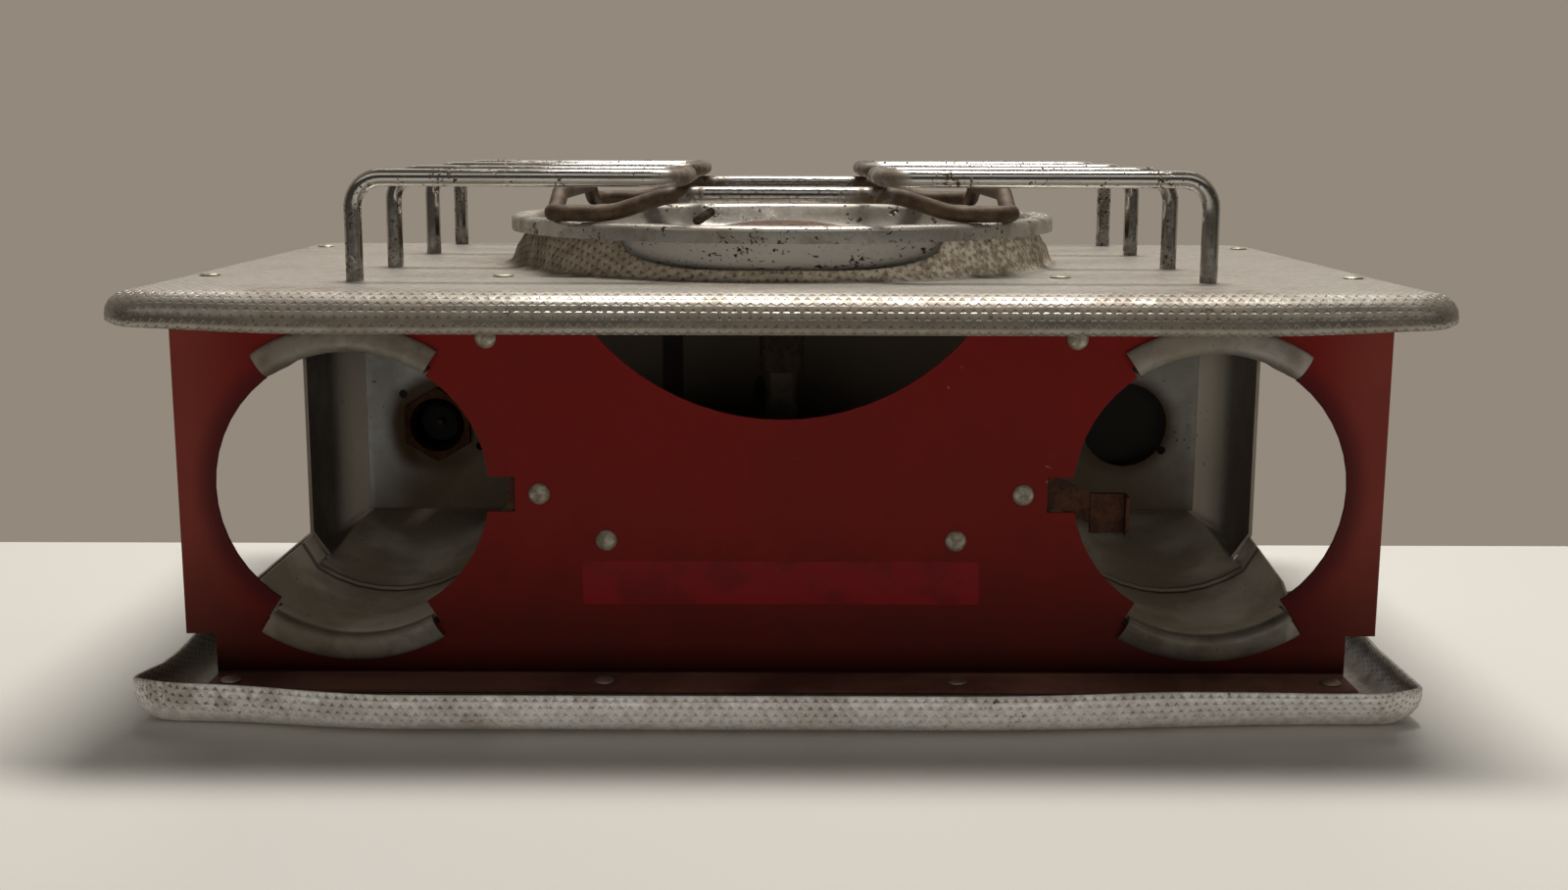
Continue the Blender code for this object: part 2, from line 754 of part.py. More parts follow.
def rolled_lip(radius, lip_radius, back):
    """Profile of a sleeve whose front is rolled outward over the panel, as (radius, y)."""
    bend_y = FRONT_Y - GAP + LIP_BEND
    bend_r = radius + STEEL + LIP_BEND
    profile = [(radius, back)]
    for reach in (LIP_BEND + STEEL, LIP_BEND):
        arc = []
        for step in range(LIP_BEND_STEPS + 1):
            bend = math.pi / 2 * step / LIP_BEND_STEPS
            arc.append((bend_r - reach * math.cos(bend), bend_y - reach * math.sin(bend)))
        if reach > LIP_BEND:
            profile += arc
            profile += [(lip_radius, arc[-1][1]), (lip_radius, FRONT_Y - GAP)]
        else:
            profile += reversed(arc)
    profile.append((radius + STEEL, back))
    return profile


def rear_radius(angle):
    """Distance from the bay's axis to the flat floor and upright sides at its rear."""
    reach = [(BAY_Z - BAY_REAR_FLOOR) / math.cos(angle)]
    if angle > 0:
        reach.append(BAY_INNER_HALF_WIDTH / math.sin(angle))
    return min(reach)


def front_radius(angle):
    return BRACKET_RADIUS


def waist_radius(angle):
    return BAY_WAIST_RADIUS


def bend_radius(angle):
    """Where the seat starts to open out from its round waist to the square rear."""
    share = (BAY_WALL_BEND_Y - BAY_WAIST_Y) / (BAY_REAR_Y - BAY_WAIST_Y)
    return BAY_WAIST_RADIUS + (rear_radius(angle) - BAY_WAIST_RADIUS) * share


CRADLE_ANGLES = [SECTION_FIRST_ANGLE - SECTION_STEP * k for k in range(SECTION_STEPS + 1)]
BRACKET_ANGLES = [SECTION_FIRST_ANGLE + SECTION_STEP] + CRADLE_ANGLES
BRACKET_RADIUS = CRADLE_RADIUS - GAP - STEEL

for side, word in sides.items():
    # Cradle, a rolled trough whose front lip is turned over the panel
    edges = [
        (FRONT_BACK_Y + GAP + LAP, CRADLE_CROP_FRONT_DROP),
        (CRADLE_CROP_Y, CRADLE_CROP_DROP),
        (CRADLE_REAR_Y, 0),
    ]
    rows = []
    for y, crop in edges:
        outline = section(lambda angle: CRADLE_RADIUS, CRADLE_ANGLES)
        last_x, last_z = outline[-1]
        crop_share = crop / (CRADLE_EDGE_Z - last_z) if side > 0 else 0
        edge_x = CRADLE_EDGE_X + (last_x - CRADLE_EDGE_X) * crop_share
        edge_z = CRADLE_EDGE_Z + (last_z - CRADLE_EDGE_Z) * crop_share
        outline.append((edge_x, edge_z))
        rows.append([(side * x, y, z) for x, z in outline])
    cradle = sheet(f"{word}_cradle", rows, (side * BAY_X, 0, BAY_Z), STEEL)
    lip_profile = rolled_lip(CRADLE_RADIUS, CRADLE_LIP_RADIUS, FRONT_BACK_Y + GAP + LAP + OVERRUN)
    lip = sector(
        f"{word}_cradle_lip",
        side,
        lip_profile,
        -CRADLE_LIP_INNER,
        CRADLE_LIP_OUTER,
        SMALL_STEPS,
        True,
    )
    ear_front = FRONT_BACK_Y + GAP
    ear_x = BAY_X - CRADLE_RADIUS * math.sin(SECTION_FIRST_ANGLE) + LAP
    ear = mirrored_block(
        f"{word}_cradle_ear",
        side,
        (LOW_RIVET_X - EAR_MARGIN, ear_front, LOW_RIVET_Z - EAR_MARGIN),
        (ear_x, ear_front + STEEL, LOW_RIVET_Z + EAR_MARGIN - STEEL),
        True,
    )
    join(cradle, lip, ear)
    low_hole = rod(
        "rivet_hole",
        (side * LOW_RIVET_X, FRONT_Y, LOW_RIVET_Z),
        (side * LOW_RIVET_X, ear_front + STEEL + OVERRUN, LOW_RIVET_Z),
        SHANK_HOLE_RADIUS,
        helper=True,
    )
    cut(cradle, low_hole)
    smooth(galvanised(cradle))
    grip = 2 * STEEL + GAP
    rivet(f"lower_rivet_{word}", (side * LOW_RIVET_X, FRONT_Y, LOW_RIVET_Z), (0, 1, 0), grip)

    # Upper saddle, a short channel that closes the top of the opening
    saddle_back = FRONT_BACK_Y + SADDLE_SLEEVE
    sleeve = rolled_lip(SADDLE_RADIUS, SADDLE_LIP_RADIUS, saddle_back)
    saddle = sector(
        f"{word}_upper_saddle",
        side,
        sleeve,
        math.pi - SADDLE_LIP_OUTER,
        math.pi + SADDLE_LIP_INNER,
        SMALL_STEPS,
    )
    ear_reach = SADDLE_RADIUS + LAP
    ear_end = BAY_X - ear_reach * math.sin(SADDLE_EAR_ANGLE)
    ear_low = BAY_Z + ear_reach * math.cos(SADDLE_EAR_ANGLE)
    saddle_ear = mirrored_block(
        f"{word}_saddle_ear",
        side,
        (TOP_RIVET_X - EAR_MARGIN, ear_front, ear_low),
        (ear_end, ear_front + STEEL, TOP_RIVET_Z + EAR_MARGIN / 2),
        True,
    )
    join(saddle, saddle_ear)
    top_hole = rod(
        "rivet_hole",
        (side * TOP_RIVET_X, FRONT_Y, TOP_RIVET_Z),
        (side * TOP_RIVET_X, ear_front + STEEL + OVERRUN, TOP_RIVET_Z),
        SHANK_HOLE_RADIUS,
        helper=True,
    )
    cut(saddle, top_hole)
    smooth(galvanised(saddle))
    rivet(f"top_rivet_{word}", (side * TOP_RIVET_X, FRONT_Y, TOP_RIVET_Z), (0, 1, 0), grip)

    # Bay bracket: rear plate, outer side wall and the stepped seat, pressed from one sheet
    wall_front = CRADLE_REAR_Y + STEEL
    plans = (
        (BAY_FRONT_Y, front_radius, BAY_WALL_X, BAY_WALL_FRONT_LOW),
        (wall_front, front_radius, BAY_WALL_X, BAY_WALL_FRONT_LOW),
        (wall_front + BAY_WALL_CUT, front_radius, BAY_WALL_X, BAY_WALL_LOW),
        (BAY_WAIST_Y, waist_radius, BAY_WALL_X, BAY_WALL_LOW),
        (BAY_WALL_BEND_Y, bend_radius, BAY_WALL_X, BAY_WALL_LOW),
        (BAY_REAR_Y, rear_radius, BAY_REAR_X, BAY_REAR_FLOOR),
    )
    rows = []
    for y, radius_at, wall_x, wall_low in plans:
        outline = section(radius_at, BRACKET_ANGLES)
        outline += [(wall_x, wall_low), (wall_x, PANEL_TOP)]
        rows.append([(side * x, y, z) for x, z in outline])
    bracket = sheet(f"{word}_bay_bracket", rows, (side * BAY_X, 0, BAY_Z), STEEL)
    plate = mirrored_block(
        f"{word}_bay_plate",
        side,
        (BAY_X - BAY_INNER_HALF_WIDTH - STEEL, BAY_REAR_Y - LAP, BAY_REAR_FLOOR - STEEL),
        (BAY_REAR_X + STEEL, BAY_REAR_Y + STEEL, PANEL_TOP),
        True,
    )
    join(bracket, plate)
    front_wall = mirrored_block(
        "front_wall",
        side,
        (BAY_X + BRACKET_RADIUS * math.sin(-BRACKET_ANGLES[-1]), BAY_FRONT_Y - OVERRUN, 0),
        (BAY_WALL_X + OVERRUN, wall_front, DECK_TOP),
        True,
    )
    cut(bracket, front_wall)
    through_plate = (BAY_REAR_Y - OVERRUN, BAY_REAR_Y + STEEL + OVERRUN)
    if side < 0:
        holes = (
            (0, 0, SPIGOT_RADIUS + GAP),
            (LEFT_PIN_HOLE_SHIFT, -LEFT_PIN_HOLE_DROP, PIN_HOLE_RADIUS),
            (-LEFT_TOP_HOLE_SHIFT, LEFT_TOP_HOLE_RISE, PIN_HOLE_RADIUS),
        )
    else:
        holes = (
            (0, 0, SPARE_HOLE_RADIUS),
            (RIGHT_PIN_HOLE_SHIFT, -RIGHT_PIN_HOLE_DROP, PIN_HOLE_RADIUS),
        )
    for shift, rise, radius in holes:
        hole = rod(
            "plate_hole",
            (side * FITTING_X + shift, through_plate[0], FITTING_Z + rise),
            (side * FITTING_X + shift, through_plate[1], FITTING_Z + rise),
            radius,
            SMALL_STEPS * 2,
            True,
        )
        cut(bracket, hole)
    smooth(galvanised(bracket))

    # Retaining clip, a spring leaf riveted behind the panel, its hook broken off on the left
    leaf_front = FRONT_BACK_Y + CLIP_GAP
    if side > 0:
        route = [
            (CLIP_TAIL_X, leaf_front, CLIP_RIVET_Z),
            (CLIP_BEND_X, leaf_front, CLIP_RIVET_Z),
            (CLIP_REACH_X, leaf_front + CLIP_DEPTH, CLIP_RIVET_Z - CLIP_DROP),
        ]
    else:
        route = [(CLIP_TAIL_X, leaf_front, CLIP_RIVET_Z), (CLIP_STUB_X, leaf_front, CLIP_RIVET_Z)]
    rows = []
    for x, y, z in route:
        rows.append([(side * x, y, z + CLIP_HALF_WIDTH * way) for way in (-1, 1)])
    ahead = (side * CLIP_BEND_X, 2 * FRONT_Y, CLIP_RIVET_Z)
    clip = sheet(f"{word}_retaining_clip", rows, ahead, SPRING_STEEL)
    origin_at(clip, (side * CLIP_RIVET_X, leaf_front, CLIP_RIVET_Z))
    if side > 0:
        hook = mirrored_block(
            "clip_hook",
            side,
            (CLIP_REACH_X - SPRING_STEEL, leaf_front + CLIP_DEPTH - SPRING_STEEL, CLIP_TAB_LOW),
            (CLIP_TIP_X, leaf_front + CLIP_DEPTH + SPRING_STEEL, CLIP_TAB_TOP),
            True,
        )
        tip = mirrored_block(
            "clip_tip",
            side,
            (CLIP_TIP_X - SPRING_STEEL, leaf_front + CLIP_DEPTH - CLIP_HALF_WIDTH, CLIP_TAB_LOW),
            (CLIP_TIP_X + LAP, leaf_front + CLIP_DEPTH, CLIP_TAB_TOP - LAP),
            True,
        )
        join(clip, hook, tip)
    clip_hole = rod(
        "rivet_hole",
        (side * CLIP_RIVET_X, FRONT_Y, CLIP_RIVET_Z),
        (side * CLIP_RIVET_X, leaf_front + SPRING_STEEL + OVERRUN, CLIP_RIVET_Z),
        SHANK_HOLE_RADIUS + GAP,
        helper=True,
    )
    cut(clip, clip_hole)
    dressed(clip, (0.16, 0.06, 0.03), 0.80, 0.3)
    clip_grip = STEEL + CLIP_GAP + SPRING_STEEL + GAP
    rivet(f"clip_rivet_{word}", (side * CLIP_RIVET_X, FRONT_Y, CLIP_RIVET_Z), (0, 1, 0), clip_grip)

# Burner bowl, a spun dish that hangs by its rim on the collar
bowl_rim = DECK_TOP + BOWL_RIM_HEIGHT
BOWL_WALL_RADIUS = COLLAR_INSIDE - BOWL_SHEET - GAP
bowl_profile = [(BOWL_HOLE_RADIUS, DECK_TOP - 2 * BOWL_SHEET)]
for radius_share, height_share in BOWL_SHARES:
    bowl_profile.append((BOWL_WALL_RADIUS * radius_share, DECK_TOP + BOWL_RIM_HEIGHT * height_share))
bowl_profile += [
    (BOWL_WALL_RADIUS, bowl_rim),
    (BOWL_RADIUS - BOWL_SHEET, bowl_rim),
    (BOWL_RADIUS, bowl_rim - BOWL_SHEET),
    (BOWL_RADIUS, bowl_rim - BOWL_FLANGE),
]
bowl = turned("burner_bowl", bowl_profile, (0, BURNER_Y, 0), sheet=BOWL_SHEET)
drain = rod(
    "drain",
    (-DRAIN_X, BURNER_Y + BOWL_WALL_RADIUS * BOWL_START_SHARE, DECK_TOP + DRAIN_RISE),
    (-DRAIN_X, BURNER_Y + BOWL_WALL_RADIUS, DECK_TOP + DRAIN_RISE),
    DRAIN_RADIUS,
    helper=True,
)
cut(bowl, drain)
smooth(aluminium(bowl))

# Burner head, its cap and the strap that carries it under the deck
neck_low = DECK_TOP - NECK_DROP
head_top = DECK_TOP + HEAD_RISE
head_profile = [
    (0, head_top - HEAD_WALL),
    (HEAD_RADIUS - 2 * HEAD_WALL, head_top - HEAD_WALL),
    (HEAD_RADIUS - 2 * HEAD_WALL, head_top),
    (HEAD_RADIUS, head_top),
    (HEAD_RADIUS, head_top - HEAD_DEPTH / 2),
    (HEAD_RADIUS * HEAD_TAPER_SHARE, head_top - HEAD_DEPTH),
    (NECK_TOP_RADIUS, DECK_TOP - STRAP_DROP + GAP + STEEL),
    (NECK_RADIUS, DECK_TOP - STRAP_DROP + GAP),
    (NECK_RADIUS, neck_low),
    (0, neck_low),
]
head = turned("burner_head", head_profile, (0, BURNER_Y, 0), steps=SMALL_STEPS * 3)
dressed(head, (0.30, 0.24, 0.18), 0.6, 0.8)
cap_low = head_top + GAP
cap_top = DECK_TOP + CAP_RISE
cap_profile = [(0, cap_top)]
for radius_share, drop_share in CAP_DOME_SHARES:
    cap_profile.append((CAP_RADIUS * radius_share, cap_top - CAP_EDGE * drop_share))
cap_profile += [(CAP_RADIUS, cap_low + CAP_EDGE), (CAP_RADIUS, cap_low), (0, cap_low)]
cap = turned("burner_cap", cap_profile, (0, BURNER_Y, 0), steps=SMALL_STEPS * 3)
dressed(cap, (0.10, 0.05, 0.03), 0.7, 0.6)
strap_z = DECK_TOP - STRAP_DROP
strap_fold = [
    (-STRAP_HALF_SPAN - STRAP_FOOT, PANEL_TOP),
    (-STRAP_HALF_SPAN, PANEL_TOP),
    (-STRAP_HALF_SPAN, strap_z),
    (STRAP_HALF_SPAN, strap_z),
    (STRAP_HALF_SPAN, PANEL_TOP),
    (STRAP_HALF_SPAN + STRAP_FOOT, PANEL_TOP),
]
rows = []
for y in (BURNER_Y - STRAP_HALF_WIDTH, BURNER_Y + STRAP_HALF_WIDTH):
    rows.append([(x, y, z) for x, z in strap_fold])
strap = sheet("burner_strap", rows, (0, BURNER_Y, DECK_TOP), STEEL)
neck_hole = rod(
    "neck_hole",
    (0, BURNER_Y, strap_z - STEEL - OVERRUN),
    (0, BURNER_Y, strap_z + OVERRUN),
    NECK_RADIUS + GAP,
    SMALL_STEPS * 3,
    True,
)
cut(strap, neck_hole)
galvanised(strap)

# Valve body with the socket that the cartridge is pushed into, and its side outlet
plate_back = BAY_REAR_Y + STEEL + GAP
socket_floor = plate_back + SOCKET_DEPTH - SPIGOT_REACH
spigot_front = BAY_REAR_Y - SPIGOT_REACH
valve_profile = [
    (0, VALVE_BACK_Y + BONNET_LENGTH),
    (BONNET_RADIUS, VALVE_BACK_Y + BONNET_LENGTH),
    (BONNET_RADIUS, VALVE_BACK_Y),
    (VALVE_RADIUS, VALVE_BACK_Y),
    (VALVE_RADIUS, plate_back),
    (SPIGOT_RADIUS, plate_back),
    (SPIGOT_RADIUS, spigot_front),
    (SOCKET_RADIUS, spigot_front),
    (SOCKET_RADIUS, socket_floor),
    (0, socket_floor),
]
valve = turned("valve_body", valve_profile, (-FITTING_X, 0, FITTING_Z), along="Y", steps=SMALL_STEPS * 3)
outlet_y = (plate_back + VALVE_BACK_Y) / 2
boss_end = -FITTING_X + BOSS_REACH
boss = rod(
    "valve_boss",
    (-FITTING_X + SOCKET_RADIUS + GAP, outlet_y, FITTING_Z),
    (boss_end, outlet_y, FITTING_Z),
    BOSS_RADIUS,
    SMALL_STEPS * 2,
    True,
)
join(valve, boss)
stem_bore = rod(
    "stem_bore",
    (-FITTING_X, VALVE_BACK_Y - STEM_SEAT, FITTING_Z),
    (-FITTING_X, VALVE_BACK_Y + BONNET_LENGTH + OVERRUN, FITTING_Z),
    STEM_RADIUS + GAP,
    SMALL_STEPS * 2,
    True,
)
cut(valve, stem_bore)
brass(valve)

# Nut that clamps the valve to the rear plate of the left bay
nut_back = BAY_REAR_Y - LAP - GAP
nut = rod(
    "socket_nut",
    (-FITTING_X, nut_back - NUT_THICKNESS, FITTING_Z),
    (-FITTING_X, nut_back, FITTING_Z),
    NUT_RADIUS,
    6,
)
nut_bore = rod(
    "nut_bore",
    (-FITTING_X, nut_back - NUT_THICKNESS - OVERRUN, FITTING_Z),
    (-FITTING_X, nut_back + OVERRUN, FITTING_Z),
    SPIGOT_RADIUS + GAP,
    SMALL_STEPS * 3,
    True,
)
cut(nut, nut_bore)
dressed(nut, (0.22, 0.12, 0.06), 0.7, 0.6)

# Rubber seal and piercing needle at the bottom of the socket
seal_front = socket_floor - GAP - SEAL_THICKNESS
seal_profile = [
    (NEEDLE_RADIUS + GAP, socket_floor - GAP),
    (SOCKET_RADIUS - GAP, socket_floor - GAP),
    (SOCKET_RADIUS - GAP, seal_front),
    (NEEDLE_RADIUS + GAP, seal_front),
    (NEEDLE_RADIUS + GAP, socket_floor - GAP),
]
seal = turned("socket_seal", seal_profile, (-FITTING_X, 0, FITTING_Z), along="Y", steps=SMALL_STEPS * 2)
dressed(seal, (0.02, 0.02, 0.02), 0.7, 0.0)
needle_back = socket_floor - GAP
needle_profile = [
    (0, needle_back),
    (NEEDLE_RADIUS, needle_back),
    (NEEDLE_RADIUS, needle_back - NEEDLE_REACH * NEEDLE_SHANK_SHARE),
    (0, needle_back - NEEDLE_REACH),
]
needle = turned("needle", needle_profile, (-FITTING_X, 0, FITTING_Z), along="Y", steps=SMALL_STEPS)
dressed(needle, (0.55, 0.54, 0.52), 0.3, 1.0)

# Gas jet in the outlet, and the mixing tube that leads from it to the burner
jet_start = boss_end + GAP
jet = rod(
    "gas_jet",
    (jet_start, outlet_y, FITTING_Z),
    (jet_start + JET_LENGTH, outlet_y, FITTING_Z),
    JET_RADIUS,
    6,
)
brass(jet)
tube_start = jet_start + JET_LENGTH + GAP
tube_route = rounded_path(
    [
        (tube_start, outlet_y, FITTING_Z),
        (0, outlet_y, FITTING_Z),
        (0, BURNER_Y, FITTING_Z),
        (0, BURNER_Y, neck_low - GAP),
    ],
    TUBE_BEND,
    TUBE_BEND_STEPS,
)
tube = wire("mixing_tube", tube_route, TUBE_RADIUS)
dressed(tube, (0.42, 0.40, 0.36), 0.5, 1.0)

# Packing nut, stem, knob and its screw on the user's side
bonnet_end = VALVE_BACK_Y + BONNET_LENGTH
packing_front = bonnet_end + GAP
packing = rod(
    "packing_nut",
    (-FITTING_X, packing_front, FITTING_Z),
    (-FITTING_X, packing_front + PACKING_THICKNESS, FITTING_Z),
    PACKING_RADIUS,
    6,
)
packing_bore = rod(
    "packing_bore",
    (-FITTING_X, packing_front - OVERRUN, FITTING_Z),
    (-FITTING_X, packing_front + PACKING_THICKNESS + OVERRUN, FITTING_Z),
    STEM_RADIUS + GAP,
    SMALL_STEPS * 2,
    True,
)
cut(packing, packing_bore)
brass(packing)
knob_front = packing_front + PACKING_THICKNESS + GAP
knob_end = knob_front + KNOB_LENGTH
stem_end = knob_front + KNOB_LENGTH * KNOB_SEAT_SHARE
stem_start = VALVE_BACK_Y - STEM_SEAT + GAP
stem_profile = [
    (0, stem_end - stem_start),
    (STEM_RADIUS, stem_end - stem_start),
    (STEM_RADIUS, STEM_RADIUS),
    (0, 0),
]
stem = turned("valve_stem", stem_profile, (-FITTING_X, stem_start, FITTING_Z), along="Y", steps=SMALL_STEPS)
brass(stem)
knob_profile = [
    (KNOB_SCREW_RADIUS + GAP, KNOB_LENGTH),
    (KNOB_RADIUS * KNOB_FACE_SHARE, KNOB_LENGTH),
    (KNOB_RADIUS, KNOB_LENGTH * KNOB_EDGE_SHARE),
    (KNOB_RADIUS, KNOB_LENGTH * KNOB_GRIP_SHARE),
    (KNOB_WAIST_RADIUS, KNOB_LENGTH * KNOB_WAIST_SHARE),
    (KNOB_WAIST_RADIUS, 0),
    (STEM_RADIUS + GAP, 0),
    (STEM_RADIUS + GAP, stem_end - knob_front + GAP),
    (KNOB_SCREW_RADIUS + GAP, stem_end - knob_front + GAP),
    (KNOB_SCREW_RADIUS + GAP, KNOB_LENGTH),
]
knob_place = (-FITTING_X, knob_front, FITTING_Z)
knob = turned("control_knob", knob_profile, knob_place, along="Y", steps=SMALL_STEPS * 3)
for k in range(KNOB_FLUTES):
    angle = 2 * math.pi * k / KNOB_FLUTES
    reach = KNOB_RADIUS + KNOB_FLUTE_RADIUS * KNOB_FLUTE_SHARE
    x = -FITTING_X + reach * math.cos(angle)
    z = FITTING_Z + reach * math.sin(angle)
    flute = rod(
        "flute",
        (x, knob_front + KNOB_LENGTH * KNOB_FLUTE_START_SHARE, z),
        (x, knob_end + OVERRUN, z),
        KNOB_FLUTE_RADIUS,
        RIVET_STEPS,
        True,
    )
    cut(knob, flute)
dressed(knob, (0.03, 0.03, 0.03), 0.4, 0.0)
screw_seat = stem_end - knob_front + 2 * GAP
screw_profile = [
    (0, KNOB_LENGTH),
    (KNOB_SCREW_RADIUS * SCREW_FACE_SHARE, KNOB_LENGTH),
    (KNOB_SCREW_RADIUS, KNOB_LENGTH - KNOB_SCREW_HEAD),
    (KNOB_SCREW_RADIUS, screw_seat),
    (0, screw_seat),
]
knob_screw = turned("knob_screw", screw_profile, knob_place, along="Y", steps=SMALL_STEPS)
dressed(knob_screw, (0.60, 0.58, 0.54), 0.3, 1.0)

# Grate: four hairpins whose eight legs drop into the deck
for side, word in sides.items():
    for end, offsets in (("front", LEG_OFFSETS[:2]), ("rear", LEG_OFFSETS[2:])):
        first_y, second_y = (BURNER_Y + offset for offset in offsets)
        foot_z = DECK_TOP - FOOT_BELOW_DECK
        corners = [
            (side * FOOT_X, first_y, foot_z),
            (side * FOOT_X, first_y, WIRE_Z),
            (side * HAIRPIN_END_X, first_y, WIRE_Z),
            (side * HAIRPIN_END_X, second_y, WIRE_Z),
            (side * FOOT_X, second_y, WIRE_Z),
            (side * FOOT_X, second_y, foot_z),
        ]
        route = rounded_path(corners, HAIRPIN_BEND, WIRE_BEND_STEPS)
        hairpin = wire(f"grate_hairpin_{end}_{word}", route, WIRE_RADIUS)
        chrome(origin_at(hairpin, (0, BURNER_Y, 0)))

# Grate loop, which carries the hairpins and dips at its corners onto the bowl's rim
loop_front = BURNER_Y - LOOP_HALF_DEPTH
loop_rear = BURNER_Y + LOOP_HALF_DEPTH
half_loop = [
    (LOOP_HIGH_HALF, loop_front, LOOP_HIGH_Z),
    (LOOP_LOW_START, loop_front, LOOP_LOW_Z),
    (LOOP_HALF_WIDTH, loop_front, LOOP_LOW_Z),
    (LOOP_HALF_WIDTH, loop_front + LOOP_SIDE_LOW, LOOP_LOW_Z),
    (LOOP_HALF_WIDTH, loop_front + LOOP_SIDE_HIGH, LOOP_HIGH_Z),
    (LOOP_HALF_WIDTH, loop_rear - LOOP_SIDE_HIGH, LOOP_HIGH_Z),
    (LOOP_HALF_WIDTH, loop_rear - LOOP_SIDE_LOW, LOOP_LOW_Z),
    (LOOP_HALF_WIDTH, loop_rear, LOOP_LOW_Z),
    (LOOP_LOW_START, loop_rear, LOOP_LOW_Z),
    (LOOP_HIGH_HALF, loop_rear, LOOP_HIGH_Z),
]
other_half = [(-x, y, z) for x, y, z in reversed(half_loop)]
loop_route = rounded_path(half_loop + other_half, LOOP_BEND, LOOP_BEND_STEPS, closed=True)
loop = wire("grate_loop", loop_route, WIRE_RADIUS, closed=True)
origin_at(loop, (0, BURNER_Y, 0))
dressed(loop, (0.20, 0.13, 0.08), 0.5, 0.9)
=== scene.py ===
import math

import bmesh
import bpy
from mathutils import Matrix, Vector


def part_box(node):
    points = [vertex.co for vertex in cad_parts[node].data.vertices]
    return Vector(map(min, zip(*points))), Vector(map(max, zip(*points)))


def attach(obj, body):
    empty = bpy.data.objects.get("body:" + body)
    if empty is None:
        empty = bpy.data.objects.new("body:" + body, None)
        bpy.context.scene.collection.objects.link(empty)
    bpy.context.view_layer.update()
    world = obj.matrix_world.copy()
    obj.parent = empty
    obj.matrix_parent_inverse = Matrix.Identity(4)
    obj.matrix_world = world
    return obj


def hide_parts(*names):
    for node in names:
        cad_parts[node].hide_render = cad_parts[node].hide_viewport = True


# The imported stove, with one node for each real piece. Every piece below is fitted to it,
# in metres, with the burner's axis at X 0 and the base tray's underside at Z 0.
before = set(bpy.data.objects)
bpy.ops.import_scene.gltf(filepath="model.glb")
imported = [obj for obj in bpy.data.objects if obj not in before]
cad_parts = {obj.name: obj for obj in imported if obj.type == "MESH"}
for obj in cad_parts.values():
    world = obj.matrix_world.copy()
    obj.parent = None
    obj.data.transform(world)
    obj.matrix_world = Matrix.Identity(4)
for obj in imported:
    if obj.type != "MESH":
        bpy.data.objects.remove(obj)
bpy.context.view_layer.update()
scene = bpy.context.scene
scene.view_settings.view_transform = "Standard"

# Camera: straight in front of the stove and a little above its deck, as in the photograph.
# Its place, its turn and its lens were fitted to the edges and rims of the real stove.
lens = bpy.data.cameras.new("front_camera")
lens.lens = 40.27
lens.sensor_width = 36
camera = bpy.data.objects.new("front_camera", lens)
camera.location = (0.0004, -0.5425, 0.1557)
camera.rotation_euler = (1.3948, -0.0028, -0.0002)
scene.collection.objects.link(camera)
scene.camera = camera

# Table: a plain pale laminate top two centimetres thick, its edges eased by hand. It carries
# the stove, and its rear edge runs a little behind it.


def node(kind, *sources, tree=None, **settings):
    """A shader node whose inputs are filled in order, each by a link, a value or None. It goes
    into the tree of its first link, or into the given one."""
    links = [source for source in sources if isinstance(source, bpy.types.NodeSocket)]
    tree = tree or links[0].id_data
    made = tree.nodes.new("ShaderNode" + kind)
    for name, value in settings.items():
        setattr(made, name, value)
    for socket, source in zip(made.inputs, sources):
        if isinstance(source, bpy.types.NodeSocket):
            tree.links.new(source, socket)
        elif source is not None:
            socket.default_value = source
    return made.outputs[0]


def calc(operation, *sources):
    return node("Math", *sources, operation=operation)


def times(first, second):
    return calc("MULTIPLY", first, second)


def scaled(value, factor, offset):
    """value times factor, plus offset."""
    return calc("MULTIPLY_ADD", value, factor, offset)


def fade(value, low, high, start=0.0, end=1.0):
    """value taken smoothly from start at low to end at high."""
    return node("MapRange", value, low, high, start, end, interpolation_type="SMOOTHSTEP")


def cloud(place, scale, detail=3.0, roughness=0.55, distortion=0.0):
    """Soft noise about the place, finer as scale grows."""
    made = node("TexNoise", place, None, scale, detail, roughness)
    made.node.inputs["Distortion"].default_value = distortion
    return made


def mixed(share, first, second, blend="MIX"):
    """Colour first turning into colour second as share goes from 0 to 1."""
    blank = (None,) * 5
    made = node("Mix", share, *blank, first, second, data_type="RGBA", blend_type=blend)
    return made.node.outputs[2]


def split(vector):
    return node("SeparateXYZ", vector).node.outputs


def bumped(height, depth, normal=None):
    """The surface's direction, or the given one, bent by a relief of this height."""
    tree = height.id_data
    made = tree.nodes.new("ShaderNodeBump")
    made.inputs["Distance"].default_value = depth
    tree.links.new(height, made.inputs["Height"])
    if normal:
        tree.links.new(normal, made.inputs["Normal"])
    return made.outputs["Normal"]


def finish_named(name, **levels):
    """A new material, with its Principled shader and the object's own coordinates."""
    material = bpy.data.materials.new(name)
    material.use_nodes = True
    tree = material.node_tree
    shader = tree.nodes["Principled BSDF"]
    for level, value in levels.items():
        shader.inputs[level.replace("_", " ")].default_value = value
    place = tree.nodes.new("ShaderNodeTexCoord").outputs["Object"]
    return material, shader, place


def feed(shader, **sources):
    """Links each source to the shader's input of that name."""
    for name, source in sources.items():
        shader.id_data.links.new(source, shader.inputs[name.replace("_", " ")])


